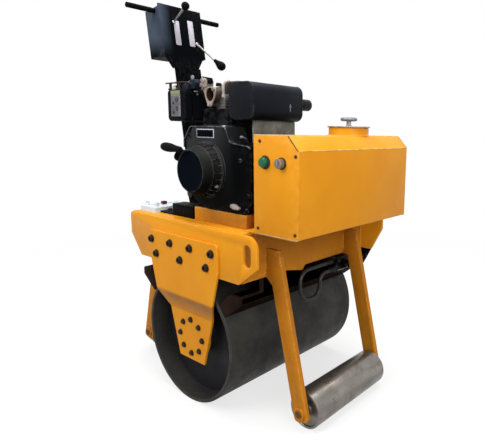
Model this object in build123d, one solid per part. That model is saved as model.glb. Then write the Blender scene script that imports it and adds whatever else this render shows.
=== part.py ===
"""Walk-behind single-drum road roller, in millimetres.

+X points forward to the tank, +Y to the machine's left and +Z up.
The origin lies on the ground, under the drum axis, on the machine's centre plane.
"""
import math
import os

from build123d import *

# ---- Drum ---------------------------------------------------------------
DRUM_DIAMETER = 432.0
DRUM_WIDTH = 596.0
DRUM_WALL = 12.0
DRUM_HEAD_RECESS = 62.0         # drum end to the outer face of its head
DRUM_HEAD_THICKNESS = 12.0
HUB_DIAMETER = 130.0
HUB_LENGTH = 56.0
STUB_DIAMETER = 60.0

# ---- Clearances ---------------------------------------------------------
MOVING_GAP = 6.0                # between a moving piece and a fixed one
RUNNING_FIT = 0.05              # radial clearance of a shaft in its bore
PIVOT_SIDE_GAP = 1.0            # beside a knuckle between its ears

# ---- Frame --------------------------------------------------------------
PLATE = 10.0
DECK_THICKNESS = 8.0
FRAME_TOP = 600.0
FRAME_BOTTOM = 452.0
FRAME_FRONT = 335.0
FRAME_REAR = -305.0
FRAME_CHAMFER_FRONT = (76.0, 58.0)      # length along X, height
FRAME_CHAMFER_REAR = (59.0, 73.0)
FRAME_FRONT_RADIUS = 38.0
FRAME_REAR_RADIUS = 14.0
FRAME_CORNER_RADIUS = 8.0
LEFT_PLATE_FRONT = 356.0        # the left side plate runs further forward, with no slot
LEFT_PLATE_CHAMFER = (46.0, 84.0)
SLOT_WIDTH = 32.0
SLOT_HEIGHT = 66.0
SLOT_EDGE = 40.0                # frame's front edge to the slot's centre line
SLOT_DROP = 59.0                # frame's top to the slot's centre
CROSS_FRONT = 262.0             # front face of the front crossmember
CROSS_REAR = -262.0             # rear face of the rear crossmember
CROSS_THICKNESS = 12.0
CROSS_TAB_DROP = 16.0
CROSS_TAB_CENTRE = -50.0
CROSS_TAB_WIDTH = 60.0

# ---- Drum carriers ------------------------------------------------------
CARRIER_THICKNESS = 8.0
CARRIER_TOP = 555.0
CARRIER_TOP_WIDTH = 352.0
CARRIER_TAPER_START = 470.0
CARRIER_FOLD_UPPER = 356.0
CARRIER_FOLD_WIDTH = 290.0
CARRIER_FOLD_LOWER = 296.0
CARRIER_LOWER_WIDTH = 220.0
CARRIER_BOTTOM = 135.0
CARRIER_BOTTOM_WIDTH = 128.0
CARRIER_JOGGLE = 27.0
CARRIER_CORNER_RADIUS = 12.0
CARRIER_BOLT_DIAMETER = 21.0
CARRIER_BOLT_HEAD = 9.0
CARRIER_BOLT_OFFSET = -7.4      # middle of both bolt rows along X
CARRIER_BOLT_COUNTS = (4, 3)    # in the upper and the lower row
CARRIER_BOLT_DROPS = (30.6, 77.1)       # rows below the carrier's top
CARRIER_ROW_LENGTHS = (311.2, 261.6)
FLANGE_DIAMETER = 148.0
FLANGE_THICKNESS = 14.0

# ---- Legs and support rollers -------------------------------------------
ROLLER_DIAMETER = 117.0
ROLLER_LENGTH = 352.0
ROLLER_WALL = 8.0
ROLLER_CAP_THICKNESS = 10.0
ROLLER_CAP_RECESS = 8.0
ROLLER_REACH = 401.0            # drum axis to a support roller's axis
REAR_ROLLER_LIFT = 30.0         # clearance of the rear roller off the ground
AXLE_DIAMETER = 24.0
AXLE_PROUD = 8.0                # axle end beyond the leg
LEG_THICKNESS = 16.0
LEG_WIDTH = 52.0
LEG_TOP = 540.0
LEG_FOOT = 27.0                 # axle to the leg's lower end
LEG_FOOT_RADIUS = 12.0
LEG_GAP = 8.0                   # roller end to leg

# ---- Scrapers -----------------------------------------------------------
SCRAPER_GAP = 5.0
SCRAPER_THICKNESS = 46.0
SCRAPER_WIDTH = 570.0
SCRAPER_ANGLE = 38.0            # above the horizontal, seen from the drum axis
SCRAPER_CREST = 408.0           # flat top of the scraper's bar
SCRAPER_HANGER = 8.0            # thickness of the hanger behind the crossmember
HANGER_WIDTH = 400.0
HANGER_TOP = 520.0

# ---- Belt guard: sheet outside the left side plate, reaching below it ----
GUARD_THICKNESS = 6.0
GUARD_REAR = 186.0
GUARD_TOP = 500.0
GUARD_BOTTOM = 388.0
GUARD_CLEARANCE = 5.0           # behind the slope of the left side plate's front

# ---- Tank housing -------------------------------------------------------
TANK_FRONT = 459.0
TANK_REAR = 294.0
TANK_WIDTH = 548.0
TANK_BOTTOM = 606.0
TANK_TOP = 875.0
TANK_CHAMFER = (36.0, 38.0)     # length along X, height
PANEL_THICKNESS = 3.0
SHELF_FRONT = 440.0
NECK_DIAMETER = 128.0
NECK_HEIGHT = 26.0
NECK_OFFSET = 72.0              # to the left of the centre plane
NECK_FLANGE = 4.0
KNOB_DIAMETER = 54.0
KNOB_THICKNESS = 13.0
KNOB_STEM_DIAMETER = 15.0
KNOB_STEM_HEIGHT = 16.0
BUTTON_DIAMETER = 34.0
BUTTON_PROUD = 14.0
BUTTON_X = 339.0
SWITCH_DIAMETER = 32.0
SWITCH_PROUD = 20.0
SWITCH_X = 401.0
CONTROLS_Z = 804.0

# ---- Engine -------------------------------------------------------------
BED_HEIGHT = 42.0
BED_REAR = -12.0
BED_FRONT = 234.0
BED_WIDTH = 500.0
BED_WALL = 6.0
CRANK_X = 61.0
CRANK_HEIGHT = 122.0            # above the engine bed
SHROUD_FACE = -250.0            # outer face of the fan shroud, along Y
SHROUD_DEPTH = 74.0
SHROUD_RADIUS = 118.0
SHROUD_TOP = 896.0
SHROUD_SHOULDERS = (38.0, 22.0)         # width of the rear and the front slope
COWL_X = (-30.0, 110.0)         # sheet in front of the cylinder, above the shroud
COWL_THICKNESS = 18.0
COWL_TOP = 952.0
SHROUD_EDGE_RADIUS = 9.0
CASE_LENGTH = 228.0
CASE_HALF_WIDTH = 106.0
CASE_TOP = 852.0
CASE_SIDE_X = 259.0             # outer face of the case's side housing
CASE_SIDE_TOP = 842.0
CASE_CORNER_CUT = 38.0
RECOIL_DIAMETER = 174.0
RECOIL_FRONT_DIAMETER = 132.0
RECOIL_DEPTH = 65.0
GUIDE_DIAMETER = 40.0           # rope guide beside the recoil starter's front
GUIDE_REACH = 92.0              # crank axis to the guide's end
GUIDE_ANGLE = 152.0             # above +X, seen from the right-hand side
GUIDE_DEPTH = 42.0              # shroud's face to the guide's axis
GRIP_LENGTH = 98.0
GRIP_DIAMETER = 28.0
GRIP_NEAR = 18.0                # crank axis to the grip's inner end
GRIP_RISE = 62.0
GRIP_TILT = 8.0
CYLINDER_TOP = 923.0
CYLINDER_SIZE = (98.0, 142.0)   # along X, along Y
CYLINDER_Y = -98.0
FIN_DEPTH = 13.0
FIN_PITCH = 12.0
FIN_THICKNESS = 4.0
HEAD_HEIGHT = 116.0
HEAD_SIZE = (95.0, 133.0)
HEAD_CASTING = 70.0             # height of the casting under the rocker cover
COVER_INSET = 9.0
COVER_RADIUS = 14.0
PORT_X = 13.0
PORT_FACE = -200.0              # open end of the intake port, along Y
PORT_RISE = 72.0                # above the cylinder's top
PORT_DIAMETER = 56.0
PORT_BORE = 38.0
PORT_DEPTH = 30.0
CLEANER_X = (-140.0, -48.0)
CLEANER_Y = (-250.0, -119.0)
CLEANER_HEIGHT = 100.0
CLEANER_DROP = 12.0             # below the cylinder's top
CLEANER_RADIUS = 14.0
INTAKE_DIAMETER = 42.0
INTAKE_INSET = 27.0             # air cleaner's inner side to the pipe's axis
INTAKE_RISE = 25.0              # air cleaner's underside to the pipe's axis
MUFFLER_X = (113.5, 220.5)
MUFFLER_Y = (-209.0, 8.0)
MUFFLER_HEIGHT = 111.0
MUFFLER_DROP = 6.0              # below the cylinder's top
MUFFLER_RADIUS = 26.0
OUTLET_DIAMETER = 38.0
OUTLET_LENGTH = 59.0
OUTLET_WALL = 3.0
OUTLET_INSET = 31.0             # muffler's side to the outlet's axis
BRACKET_THICKNESS = 5.0
BRACKET_X = 180.0
BRACKET_Y = (-175.0, 8.0)

# ---- Deck items ---------------------------------------------------------
BATTERY_X = (-296.0, -206.0)
BATTERY_Y = (-270.0, -120.0)
BATTERY_HEIGHT = 73.0
BATTERY_PROUD = 18.0            # above the deck
BATTERY_FIT = 2.0
TRAY_THICKNESS = 4.0
RELAY_X = (-130.0, -18.0)
RELAY_Y = (-252.0, -200.0)
RELAY_HEIGHT = 40.0
FOOT_THICKNESS = 6.0
FOOT_MARGIN = 74.0             # foot plate beyond the box

# ---- Hydraulics ---------------------------------------------------------
VALVE_X = (252.0, 292.0)
VALVE_Y = (108.0, 176.0)
VALVE_HEIGHT = 48.0
HOSE_DIAMETER = 13.0
HOSE_ROUTE = ((272.0, 108.0, 436.0), (272.0, -60.0, 436.0), (276.0, -60.0, 336.0),
              (282.0, 28.0, 336.0), (284.0, 28.0, 412.0), (284.0, 108.0, 412.0))
HOSE_RADII = (40.0, 40.0, 32.0, 28.0)

# ---- Handle -------------------------------------------------------------
PIVOT_INSET = 15.0              # frame's rear edge to the pivot
PIVOT_RISE = 40.0               # above the deck
HANDLE_LEAN = 9.2               # degrees behind the vertical
PIVOT_DIAMETER = 16.0
COLUMN_WIDTH = 106.0
COLUMN_DEPTH = 20.0
COLUMN_FACE = -2.0              # pivot to the column's front face
KNUCKLE_DIAMETER = 44.0
EAR_THICKNESS = 10.0
EAR_WIDTH = 50.0
BASE_LENGTH = 72.0
BASE_EDGE = 2.0                 # deck's rear edge to the handle's base
CONSOLE_LENGTH = 189.0
CONSOLE_HEADROOM = 21.0         # bar's axis to the top of the console's front sheet
CONSOLE_LIP = 9.0               # front sheet above the box behind it
CONSOLE_SHEET = 9.0
CONSOLE_WIDTH = 186.0
CONSOLE_FACE = -14.0
CONSOLE_DEPTH = 93.0
CONSOLE_TAPER = 45.0            # neck under the box, as wide as the column at its foot
CONSOLE_NECK_WIDTH = 162.0
BAR_DIAMETER = 16.0
BAR_HEIGHT = 701.0              # along the column, from the pivot
BAR_OFFSET = -46.0
BAR_LENGTH = 406.0
HAND_GRIP_LENGTH = 104.0
HAND_GRIP_DIAMETER = 19.0
LEVER_DIAMETER = 8.0
# Levers: place along Y, root below the bar, tip below the bar, tip out of the console's face.
DRIVE_LEVER = (-36.0, 41.0, 5.0, 85.0)
DRIVE_BALL_DIAMETER = 30.0
THROTTLE_LEVER = (58.0, 109.0, 226.0, 132.0)
THROTTLE_KNOB_DIAMETER = 34.0

# ---- Derived places -----------------------------------------------------
DRUM_RADIUS = DRUM_DIAMETER / 2
DRUM_END = DRUM_WIDTH / 2
SIDE_OUTER = DRUM_END + MOVING_GAP
SIDE_INNER = SIDE_OUTER - PLATE
CARRIER_OUTER = SIDE_OUTER + CARRIER_THICKNESS
ROLLER_RADIUS = ROLLER_DIAMETER / 2
LEG_INNER = ROLLER_LENGTH / 2 + LEG_GAP
LEG_OUTER = LEG_INNER + LEG_THICKNESS
BED_TOP = FRAME_TOP + BED_HEIGHT
HANDLE_PIVOT = (FRAME_REAR + PIVOT_INSET, FRAME_TOP + PIVOT_RISE)       # X and Z
CRANK_Z = BED_TOP + CRANK_HEIGHT
CASE_FRONT = SHROUD_FACE + SHROUD_DEPTH
HEAD_TOP = CYLINDER_TOP + HEAD_HEIGHT
CLEANER_Z = (CYLINDER_TOP - CLEANER_DROP, CYLINDER_TOP - CLEANER_DROP + CLEANER_HEIGHT)
MUFFLER_Z = (CYLINDER_TOP - MUFFLER_DROP, CYLINDER_TOP - MUFFLER_DROP + MUFFLER_HEIGHT)
CONSOLE_TOP = BAR_HEIGHT + CONSOLE_HEADROOM
CONSOLE_BOTTOM = CONSOLE_TOP - CONSOLE_LENGTH
TRAY_Z = FRAME_TOP + BATTERY_PROUD - BATTERY_HEIGHT - TRAY_THICKNESS
NECK_X = (TANK_REAR + TANK_FRONT - TANK_CHAMFER[0]) / 2
SIDES = (("right", -1), ("left", 1))

nodes = {}


# ---- Helpers ------------------------------------------------------------
def block(x, y, z):
    """Box between pairs of coordinates."""
    size = [max(pair) - min(pair) for pair in (x, y, z)]
    middle = [sum(pair) / 2 for pair in (x, y, z)]
    return Pos(*middle) * Box(*size)


def rod_y(x, z, diameter, y0, y1):
    """Cylinder along Y from y0 to y1."""
    length = abs(y1 - y0)
    return Pos(x, (y0 + y1) / 2, z) * Rot(90, 0, 0) * Cylinder(diameter / 2, length)


def rod_z(x, y, diameter, z0, z1):
    """Cylinder along Z from z0 to z1."""
    return Pos(x, y, (z0 + z1) / 2) * Cylinder(diameter / 2, abs(z1 - z0))


def plate_xz(points, y0, y1, radii=None):
    """Polygon in the XZ plane, thick along Y, its corners rounded by radii."""
    start, end = min(y0, y1), max(y0, y1)
    plane = Plane(origin=(0, end, 0), x_dir=(1, 0, 0), z_dir=(0, -1, 0))
    return extrude(plane * outline(points, radii), amount=end - start)


def plate_yz(points, x0, x1, radii=None):
    """Polygon in the YZ plane, thick along X, its corners rounded by radii."""
    start, end = min(x0, x1), max(x0, x1)
    plane = Plane(origin=(start, 0, 0), x_dir=(0, 1, 0), z_dir=(1, 0, 0))
    return extrude(plane * outline(points, radii), amount=end - start)


def outline(points, radii):
    """Closed face through the points; a radius of 0 leaves its corner sharp."""
    face = make_face(Polyline(*points, close=True))
    for radius in sorted(set(radii or ())):
        if radius:
            at = [p for p, r in zip(points, radii) if r == radius]
            corners = [v for v in face.vertices()
                       if any(math.dist((v.X, v.Y), p) < 1e-3 for p in at)]
            face = fillet(corners, radius)
    return face


def mirrored(shape, side):
    """The right-hand shape, or its mirror image on the left."""
    return shape if side < 0 else mirror(shape, about=Plane.XZ)


def handle_place(shape):
    """Move a shape drawn with its column on +Z and its face to +X."""
    x, z = HANDLE_PIVOT
    return Pos(x, 0, z) * Rot(0, -HANDLE_LEAN, 0) * shape


def rod_between(a, b, diameter):
    """Straight round rod from point a to point b."""
    a, b = Vector(a), Vector(b)
    plane = Plane(origin=a, z_dir=b - a)
    return extrude(plane * Circle(diameter / 2), amount=(b - a).length)


# ---- Drum ---------------------------------------------------------------
def drum_shell():
    outer = rod_y(0, DRUM_RADIUS, DRUM_DIAMETER, -DRUM_END, DRUM_END)
    bore = rod_y(0, DRUM_RADIUS, DRUM_DIAMETER - 2 * DRUM_WALL, -DRUM_END, DRUM_END)
    return outer - bore


def drum_head(side):
    face = DRUM_END - DRUM_HEAD_RECESS
    disc = rod_y(0, DRUM_RADIUS, DRUM_DIAMETER - 2 * DRUM_WALL,
                 -face, -face + DRUM_HEAD_THICKNESS)
    middle = face - DRUM_HEAD_THICKNESS / 2
    hub = rod_y(0, DRUM_RADIUS, HUB_DIAMETER, -middle - HUB_LENGTH / 2, -middle + HUB_LENGTH / 2)
    bore = rod_y(0, DRUM_RADIUS, STUB_DIAMETER + 2 * RUNNING_FIT, -DRUM_END, 0)
    return mirrored(disc + hub - bore, side)


def drum_stub(side):
    """Flange bolted to the carrier, with the stub shaft the drum turns on."""
    seat = CARRIER_OUTER - CARRIER_JOGGLE - CARRIER_THICKNESS
    hub_inner = DRUM_END - DRUM_HEAD_RECESS - DRUM_HEAD_THICKNESS / 2 - HUB_LENGTH / 2
    flange = rod_y(0, DRUM_RADIUS, FLANGE_DIAMETER, -seat, -seat + FLANGE_THICKNESS)
    shaft = rod_y(0, DRUM_RADIUS, STUB_DIAMETER, -seat, -hub_inner)
    return mirrored(flange + shaft, side)


def drum_carrier(side):
    """Hanger plate, stepped inwards so that its lower end sits inside the drum's rim."""
    half = [width / 2 for width in (CARRIER_TOP_WIDTH, CARRIER_FOLD_WIDTH,
                                    CARRIER_LOWER_WIDTH, CARRIER_BOTTOM_WIDTH)]
    right = [(half[0], CARRIER_TOP), (half[0], CARRIER_TAPER_START), (half[1], CARRIER_FOLD_UPPER),
             (half[2], CARRIER_FOLD_LOWER), (half[3], CARRIER_BOTTOM)]
    left = [(-x, z) for x, z in reversed(right)]
    radii = [CARRIER_CORNER_RADIUS, 0, 0, 0, 0]
    front_view = plate_xz(right + left, -CARRIER_OUTER, 0, radii + radii[::-1])
    outer = [(-CARRIER_OUTER, CARRIER_TOP), (-CARRIER_OUTER, CARRIER_FOLD_UPPER),
             (-CARRIER_OUTER + CARRIER_JOGGLE, CARRIER_FOLD_LOWER),
             (-CARRIER_OUTER + CARRIER_JOGGLE, CARRIER_BOTTOM)]
    inner = [(y + CARRIER_THICKNESS, z) for y, z in reversed(outer)]
    section = plate_yz(outer + inner, -half[0], half[0])
    return mirrored(front_view & section, side)


def carrier_bolts(side):
    """Heads of the bolts through the carrier, on its outer face."""
    heads = []
    for count, drop, length in zip(CARRIER_BOLT_COUNTS, CARRIER_BOLT_DROPS, CARRIER_ROW_LENGTHS):
        for index in range(count):
            x = CARRIER_BOLT_OFFSET + length * (index / (count - 1) - 0.5)
            heads.append(rod_y(x, CARRIER_TOP - drop, CARRIER_BOLT_DIAMETER,
                               -CARRIER_OUTER - CARRIER_BOLT_HEAD, -CARRIER_OUTER))
    return [mirrored(head, side) for head in heads]


# ---- Frame --------------------------------------------------------------
def side_plate(front, chamfer, front_radius):
    """Right-hand side plate with the given front end."""
    fx, fz = chamfer
    rx, rz = FRAME_CHAMFER_REAR
    points = [(FRAME_REAR, FRAME_TOP), (FRAME_REAR, FRAME_BOTTOM + rz),
              (FRAME_REAR + rx, FRAME_BOTTOM), (front - fx, FRAME_BOTTOM),
              (front, FRAME_BOTTOM + fz), (front, FRAME_TOP)]
    radii = [FRAME_REAR_RADIUS, FRAME_CORNER_RADIUS, FRAME_CORNER_RADIUS,
             FRAME_CORNER_RADIUS, FRAME_CORNER_RADIUS, front_radius]
    return plate_xz(points, -SIDE_OUTER, -SIDE_INNER, radii)


def right_side_plate():
    """Plate with the tie-down slot at its front."""
    plate = side_plate(FRAME_FRONT, FRAME_CHAMFER_FRONT, FRAME_FRONT_RADIUS)
    centre_x = FRAME_FRONT - SLOT_EDGE
    centre_z = FRAME_TOP - SLOT_DROP
    reach = SLOT_HEIGHT / 2 - SLOT_WIDTH / 2
    slot = block((centre_x - SLOT_WIDTH / 2, centre_x + SLOT_WIDTH / 2), (-SIDE_OUTER, -SIDE_INNER),
                 (centre_z - reach, centre_z + reach))
    for end in (-reach, reach):
        slot += rod_y(centre_x, centre_z + end, SLOT_WIDTH, -SIDE_OUTER, -SIDE_INNER)
    return plate - slot


def left_side_plate():
    plate = side_plate(LEFT_PLATE_FRONT, LEFT_PLATE_CHAMFER, FRAME_CORNER_RADIUS)
    return mirrored(plate, 1)


def belt_guard():
    """Sheet whose front edge goes on down the slope of the left side plate's front."""
    fx, fz = LEFT_PLATE_CHAMFER
    foot = LEFT_PLATE_FRONT - fx - GUARD_CLEARANCE
    points = [(GUARD_REAR, GUARD_TOP), (GUARD_REAR, GUARD_BOTTOM),
              (foot + (GUARD_BOTTOM - FRAME_BOTTOM) * fx / fz, GUARD_BOTTOM),
              (foot + (GUARD_TOP - FRAME_BOTTOM) * fx / fz, GUARD_TOP)]
    return plate_xz(points, SIDE_OUTER, SIDE_OUTER + GUARD_THICKNESS)


def deck_plate():
    plate = block((CROSS_REAR, CROSS_FRONT), (-SIDE_INNER, SIDE_INNER),
                  (FRAME_TOP - DECK_THICKNESS, FRAME_TOP))
    rear = block((FRAME_REAR, CROSS_REAR), (-SIDE_INNER, SIDE_INNER),
                 (FRAME_TOP - DECK_THICKNESS, FRAME_TOP))
    well = block((BATTERY_X[0] - BATTERY_FIT, BATTERY_X[1] + BATTERY_FIT),
                 (BATTERY_Y[0] - BATTERY_FIT, BATTERY_Y[1] + BATTERY_FIT),
                 (FRAME_TOP - DECK_THICKNESS, FRAME_TOP))
    return plate + rear - well


def front_crossmember():
    top = FRAME_TOP - DECK_THICKNESS
    tab = CROSS_TAB_WIDTH / 2
    points = [(-SIDE_INNER, top), (-SIDE_INNER, FRAME_BOTTOM),
              (CROSS_TAB_CENTRE - 2 * tab, FRAME_BOTTOM),
              (CROSS_TAB_CENTRE + tab / 2, FRAME_BOTTOM - CROSS_TAB_DROP),
              (CROSS_TAB_CENTRE + tab, FRAME_BOTTOM),
              (SIDE_INNER, FRAME_BOTTOM), (SIDE_INNER, top)]
    return plate_yz(points, CROSS_FRONT - CROSS_THICKNESS, CROSS_FRONT)


def rear_crossmember():
    plate = block((CROSS_REAR, CROSS_REAR + CROSS_THICKNESS), (-SIDE_INNER, SIDE_INNER),
                  (FRAME_BOTTOM, FRAME_TOP - DECK_THICKNESS))
    notch = block((CROSS_REAR, CROSS_REAR + CROSS_THICKNESS),
                  (BATTERY_Y[0] - BATTERY_FIT, BATTERY_Y[1] + BATTERY_FIT),
                  (TRAY_Z, FRAME_TOP))
    return plate - notch


def leg(side, reach, foot_z, cross_face):
    """Flat bar from the crossmember's face down to a support roller's axle."""
    top_x = cross_face + LEG_WIDTH / 2 / math.cos(math.atan2(reach - cross_face, LEG_TOP - foot_z))
    run, drop = reach - top_x, LEG_TOP - foot_z
    length = math.hypot(run, drop)
    dx, dz = run / length, -drop / length
    nx, nz = -dz * LEG_WIDTH / 2, dx * LEG_WIDTH / 2
    end_x, end_z = reach + LEG_FOOT * dx, foot_z + LEG_FOOT * dz
    slope = run / drop
    front_top = end_x + nx - (LEG_TOP - end_z - nz) * slope
    rear_low = end_z - nz + (end_x - nx - cross_face - LEG_WIDTH / 2) / slope
    points = [(cross_face, LEG_TOP), (front_top, LEG_TOP), (end_x + nx, end_z + nz),
              (end_x - nx, end_z - nz), (cross_face + LEG_WIDTH / 2, rear_low),
              (cross_face, FRAME_BOTTOM)]
    bar = plate_xz(points, -LEG_OUTER, -LEG_INNER, [0, 0, LEG_FOOT_RADIUS, LEG_FOOT_RADIUS, 0, 0])
    return mirrored(bar - rod_y(reach, foot_z, AXLE_DIAMETER, -LEG_OUTER, -LEG_INNER), side)


def front_leg(side):
    return leg(side, ROLLER_REACH, ROLLER_RADIUS, CROSS_FRONT)


def rear_leg(side):
    bar = leg(side, ROLLER_REACH, ROLLER_RADIUS + REAR_ROLLER_LIFT, -CROSS_REAR)
    return mirror(bar, about=Plane.YZ)


def roller(x, z):
    """Tube closed by two recessed end caps, bored for its axle."""
    half = ROLLER_LENGTH / 2
    tube = rod_y(x, z, ROLLER_DIAMETER, -half, half)
    tube -= rod_y(x, z, ROLLER_DIAMETER - 2 * ROLLER_WALL, -half, half)
    for side in (-1, 1):
        outer = side * (half - ROLLER_CAP_RECESS)
        inner = side * (half - ROLLER_CAP_RECESS - ROLLER_CAP_THICKNESS)
        tube += rod_y(x, z, ROLLER_DIAMETER - 2 * ROLLER_WALL, inner, outer)
    return tube - rod_y(x, z, AXLE_DIAMETER + 2 * RUNNING_FIT, -half, half)


def axle(x, z):
    end = LEG_OUTER + AXLE_PROUD
    return rod_y(x, z, AXLE_DIAMETER, -end, end)


def scraper(front):
    """Full-width bar held radially off the drum by a hanger on the crossmember."""
    angle = math.radians(SCRAPER_ANGLE)
    inner_x = (CROSS_FRONT if front else -CROSS_REAR) - CROSS_THICKNESS
    reach = (inner_x - SCRAPER_HANGER / 2) / math.cos(angle)
    half = SCRAPER_WIDTH / 2
    near = DRUM_RADIUS + SCRAPER_GAP
    bar = Box(reach - near, SCRAPER_WIDTH, SCRAPER_THICKNESS)
    bar = Pos(0, 0, DRUM_RADIUS) * Rot(0, -SCRAPER_ANGLE, 0) * Pos((near + reach) / 2, 0, 0) * bar
    bar &= block((0, inner_x), (-half, half), (0, SCRAPER_CREST))
    hanger = block((inner_x - SCRAPER_HANGER, inner_x), (-HANGER_WIDTH / 2, HANGER_WIDTH / 2),
                   (SCRAPER_CREST - SCRAPER_HANGER, HANGER_TOP))
    shape = bar + hanger
    return shape if front else mirror(shape, about=Plane.YZ)


# ---- Tank housing -------------------------------------------------------
def tank_outline():
    cx, cz = TANK_CHAMFER
    return [(TANK_REAR, TANK_BOTTOM), (TANK_FRONT, TANK_BOTTOM), (TANK_FRONT, TANK_TOP - cz),
            (TANK_FRONT - cx, TANK_TOP), (TANK_REAR, TANK_TOP)]


def tank_housing():
    half = TANK_WIDTH / 2 - PANEL_THICKNESS
    return plate_xz(tank_outline(), -half, half)


def tank_panel(side):
    half = TANK_WIDTH / 2
    return mirrored(plate_xz(tank_outline(), -half, -half + PANEL_THICKNESS), side)


def tank_shelf():
    half = TANK_WIDTH / 2 - 2 * PANEL_THICKNESS
    return block((CROSS_FRONT - CROSS_THICKNESS, SHELF_FRONT), (-half, half),
                 (FRAME_TOP, TANK_BOTTOM))


def filler_neck():
    top = TANK_TOP + NECK_HEIGHT
    return rod_z(NECK_X, NECK_OFFSET, NECK_DIAMETER, TANK_TOP, top)


def filler_lid():
    """Flat lid on the neck, with the round knob that clamps it."""
    seat = TANK_TOP + NECK_HEIGHT
    stem_top = seat + NECK_FLANGE + KNOB_STEM_HEIGHT
    lid = rod_z(NECK_X, NECK_OFFSET, NECK_DIAMETER + 2 * NECK_FLANGE, seat, seat + NECK_FLANGE)
    lid += rod_z(NECK_X, NECK_OFFSET, KNOB_STEM_DIAMETER, seat, stem_top)
    return lid + rod_z(NECK_X, NECK_OFFSET, KNOB_DIAMETER, stem_top, stem_top + KNOB_THICKNESS)


def start_button():
    face = -TANK_WIDTH / 2
    return rod_y(BUTTON_X, CONTROLS_Z, BUTTON_DIAMETER, face - BUTTON_PROUD, face)


def key_switch():
    face = -TANK_WIDTH / 2
    return rod_y(SWITCH_X, CONTROLS_Z, SWITCH_DIAMETER, face - SWITCH_PROUD, face)


# ---- Engine -------------------------------------------------------------
def engine_bed():
    half = BED_WIDTH / 2
    tray = block((BED_REAR, BED_FRONT), (-half, half), (FRAME_TOP, BED_TOP))
    hollow = block((BED_REAR + BED_WALL, BED_FRONT - BED_WALL),
                   (-half + BED_WALL, half - BED_WALL), (FRAME_TOP, BED_TOP - BED_WALL))
    return tray - hollow


def crankcase():
    left, right = CRANK_X - CASE_HALF_WIDTH, CRANK_X + CASE_HALF_WIDTH
    points = [(left + CASE_CORNER_CUT, BED_TOP), (CASE_SIDE_X - CASE_CORNER_CUT, BED_TOP),
              (CASE_SIDE_X, BED_TOP + CASE_CORNER_CUT), (CASE_SIDE_X, CASE_SIDE_TOP),
              (right, CASE_SIDE_TOP), (right, CASE_TOP), (left, CASE_TOP),
              (left, BED_TOP + CASE_CORNER_CUT)]
    return plate_xz(points, CASE_FRONT, CASE_FRONT + CASE_LENGTH)


def fan_shroud():
    """Round fan housing with a hood above it and a housing on its +X side."""
    left, right = CRANK_X - CASE_HALF_WIDTH, CRANK_X + CASE_HALF_WIDTH
    rear_slope, front_slope = SHROUD_SHOULDERS
    points = [(CRANK_X, BED_TOP), (CASE_SIDE_X - CASE_CORNER_CUT, BED_TOP),
              (CASE_SIDE_X, BED_TOP + CASE_CORNER_CUT), (CASE_SIDE_X, CASE_SIDE_TOP),
              (right, CASE_TOP), (right - front_slope, SHROUD_TOP),
              (left + rear_slope, SHROUD_TOP), (left, CASE_TOP), (left, CRANK_Z)]
    radii = [0, SHROUD_EDGE_RADIUS, SHROUD_EDGE_RADIUS, SHROUD_EDGE_RADIUS, 0,
             SHROUD_EDGE_RADIUS, SHROUD_EDGE_RADIUS, SHROUD_EDGE_RADIUS, 0]
    hood = plate_xz(points, SHROUD_FACE, CASE_FRONT, radii)
    fan = rod_y(CRANK_X, CRANK_Z, 2 * SHROUD_RADIUS, SHROUD_FACE, CASE_FRONT)
    cowl = block(COWL_X, (CASE_FRONT - COWL_THICKNESS, CASE_FRONT), (CASE_TOP, COWL_TOP))
    return hood + fan + cowl


def recoil_starter():
    """Cone over the pull-cord drum, with the guide that the cord comes out of."""
    base = Plane(origin=(CRANK_X, SHROUD_FACE, CRANK_Z), z_dir=(0, -1, 0))
    cone = base * Pos(0, 0, RECOIL_DEPTH / 2) * Cone(RECOIL_DIAMETER / 2,
                                                     RECOIL_FRONT_DIAMETER / 2, RECOIL_DEPTH)
    angle = math.radians(GUIDE_ANGLE)
    y = SHROUD_FACE - GUIDE_DEPTH
    end = (CRANK_X + GUIDE_REACH * math.cos(angle), y, CRANK_Z + GUIDE_REACH * math.sin(angle))
    return cone + rod_between((CRANK_X, y, CRANK_Z), end, GUIDE_DIAMETER)


def recoil_grip():
    y = SHROUD_FACE - RECOIL_DEPTH - GRIP_DIAMETER / 2
    start = (CRANK_X - GRIP_NEAR, y, CRANK_Z + GRIP_RISE)
    return rod_between(start, (start[0] - GRIP_LENGTH, y, start[2] + GRIP_TILT), GRIP_DIAMETER)


def cylinder_barrel():
    """Barrel with its cooling fins."""
    sx, sy = CYLINDER_SIZE
    shape = block((CRANK_X - sx / 2 + FIN_DEPTH, CRANK_X + sx / 2 - FIN_DEPTH),
                  (CYLINDER_Y - sy / 2 + FIN_DEPTH, CYLINDER_Y + sy / 2 - FIN_DEPTH),
                  (CASE_TOP, CYLINDER_TOP))
    count = int((CYLINDER_TOP - CASE_TOP) // FIN_PITCH)
    for index in range(count):
        z = CASE_TOP + index * FIN_PITCH + FIN_PITCH / 2
        shape += block((CRANK_X - sx / 2, CRANK_X + sx / 2),
                       (CYLINDER_Y - sy / 2, CYLINDER_Y + sy / 2), (z, z + FIN_THICKNESS))
    return shape


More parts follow.
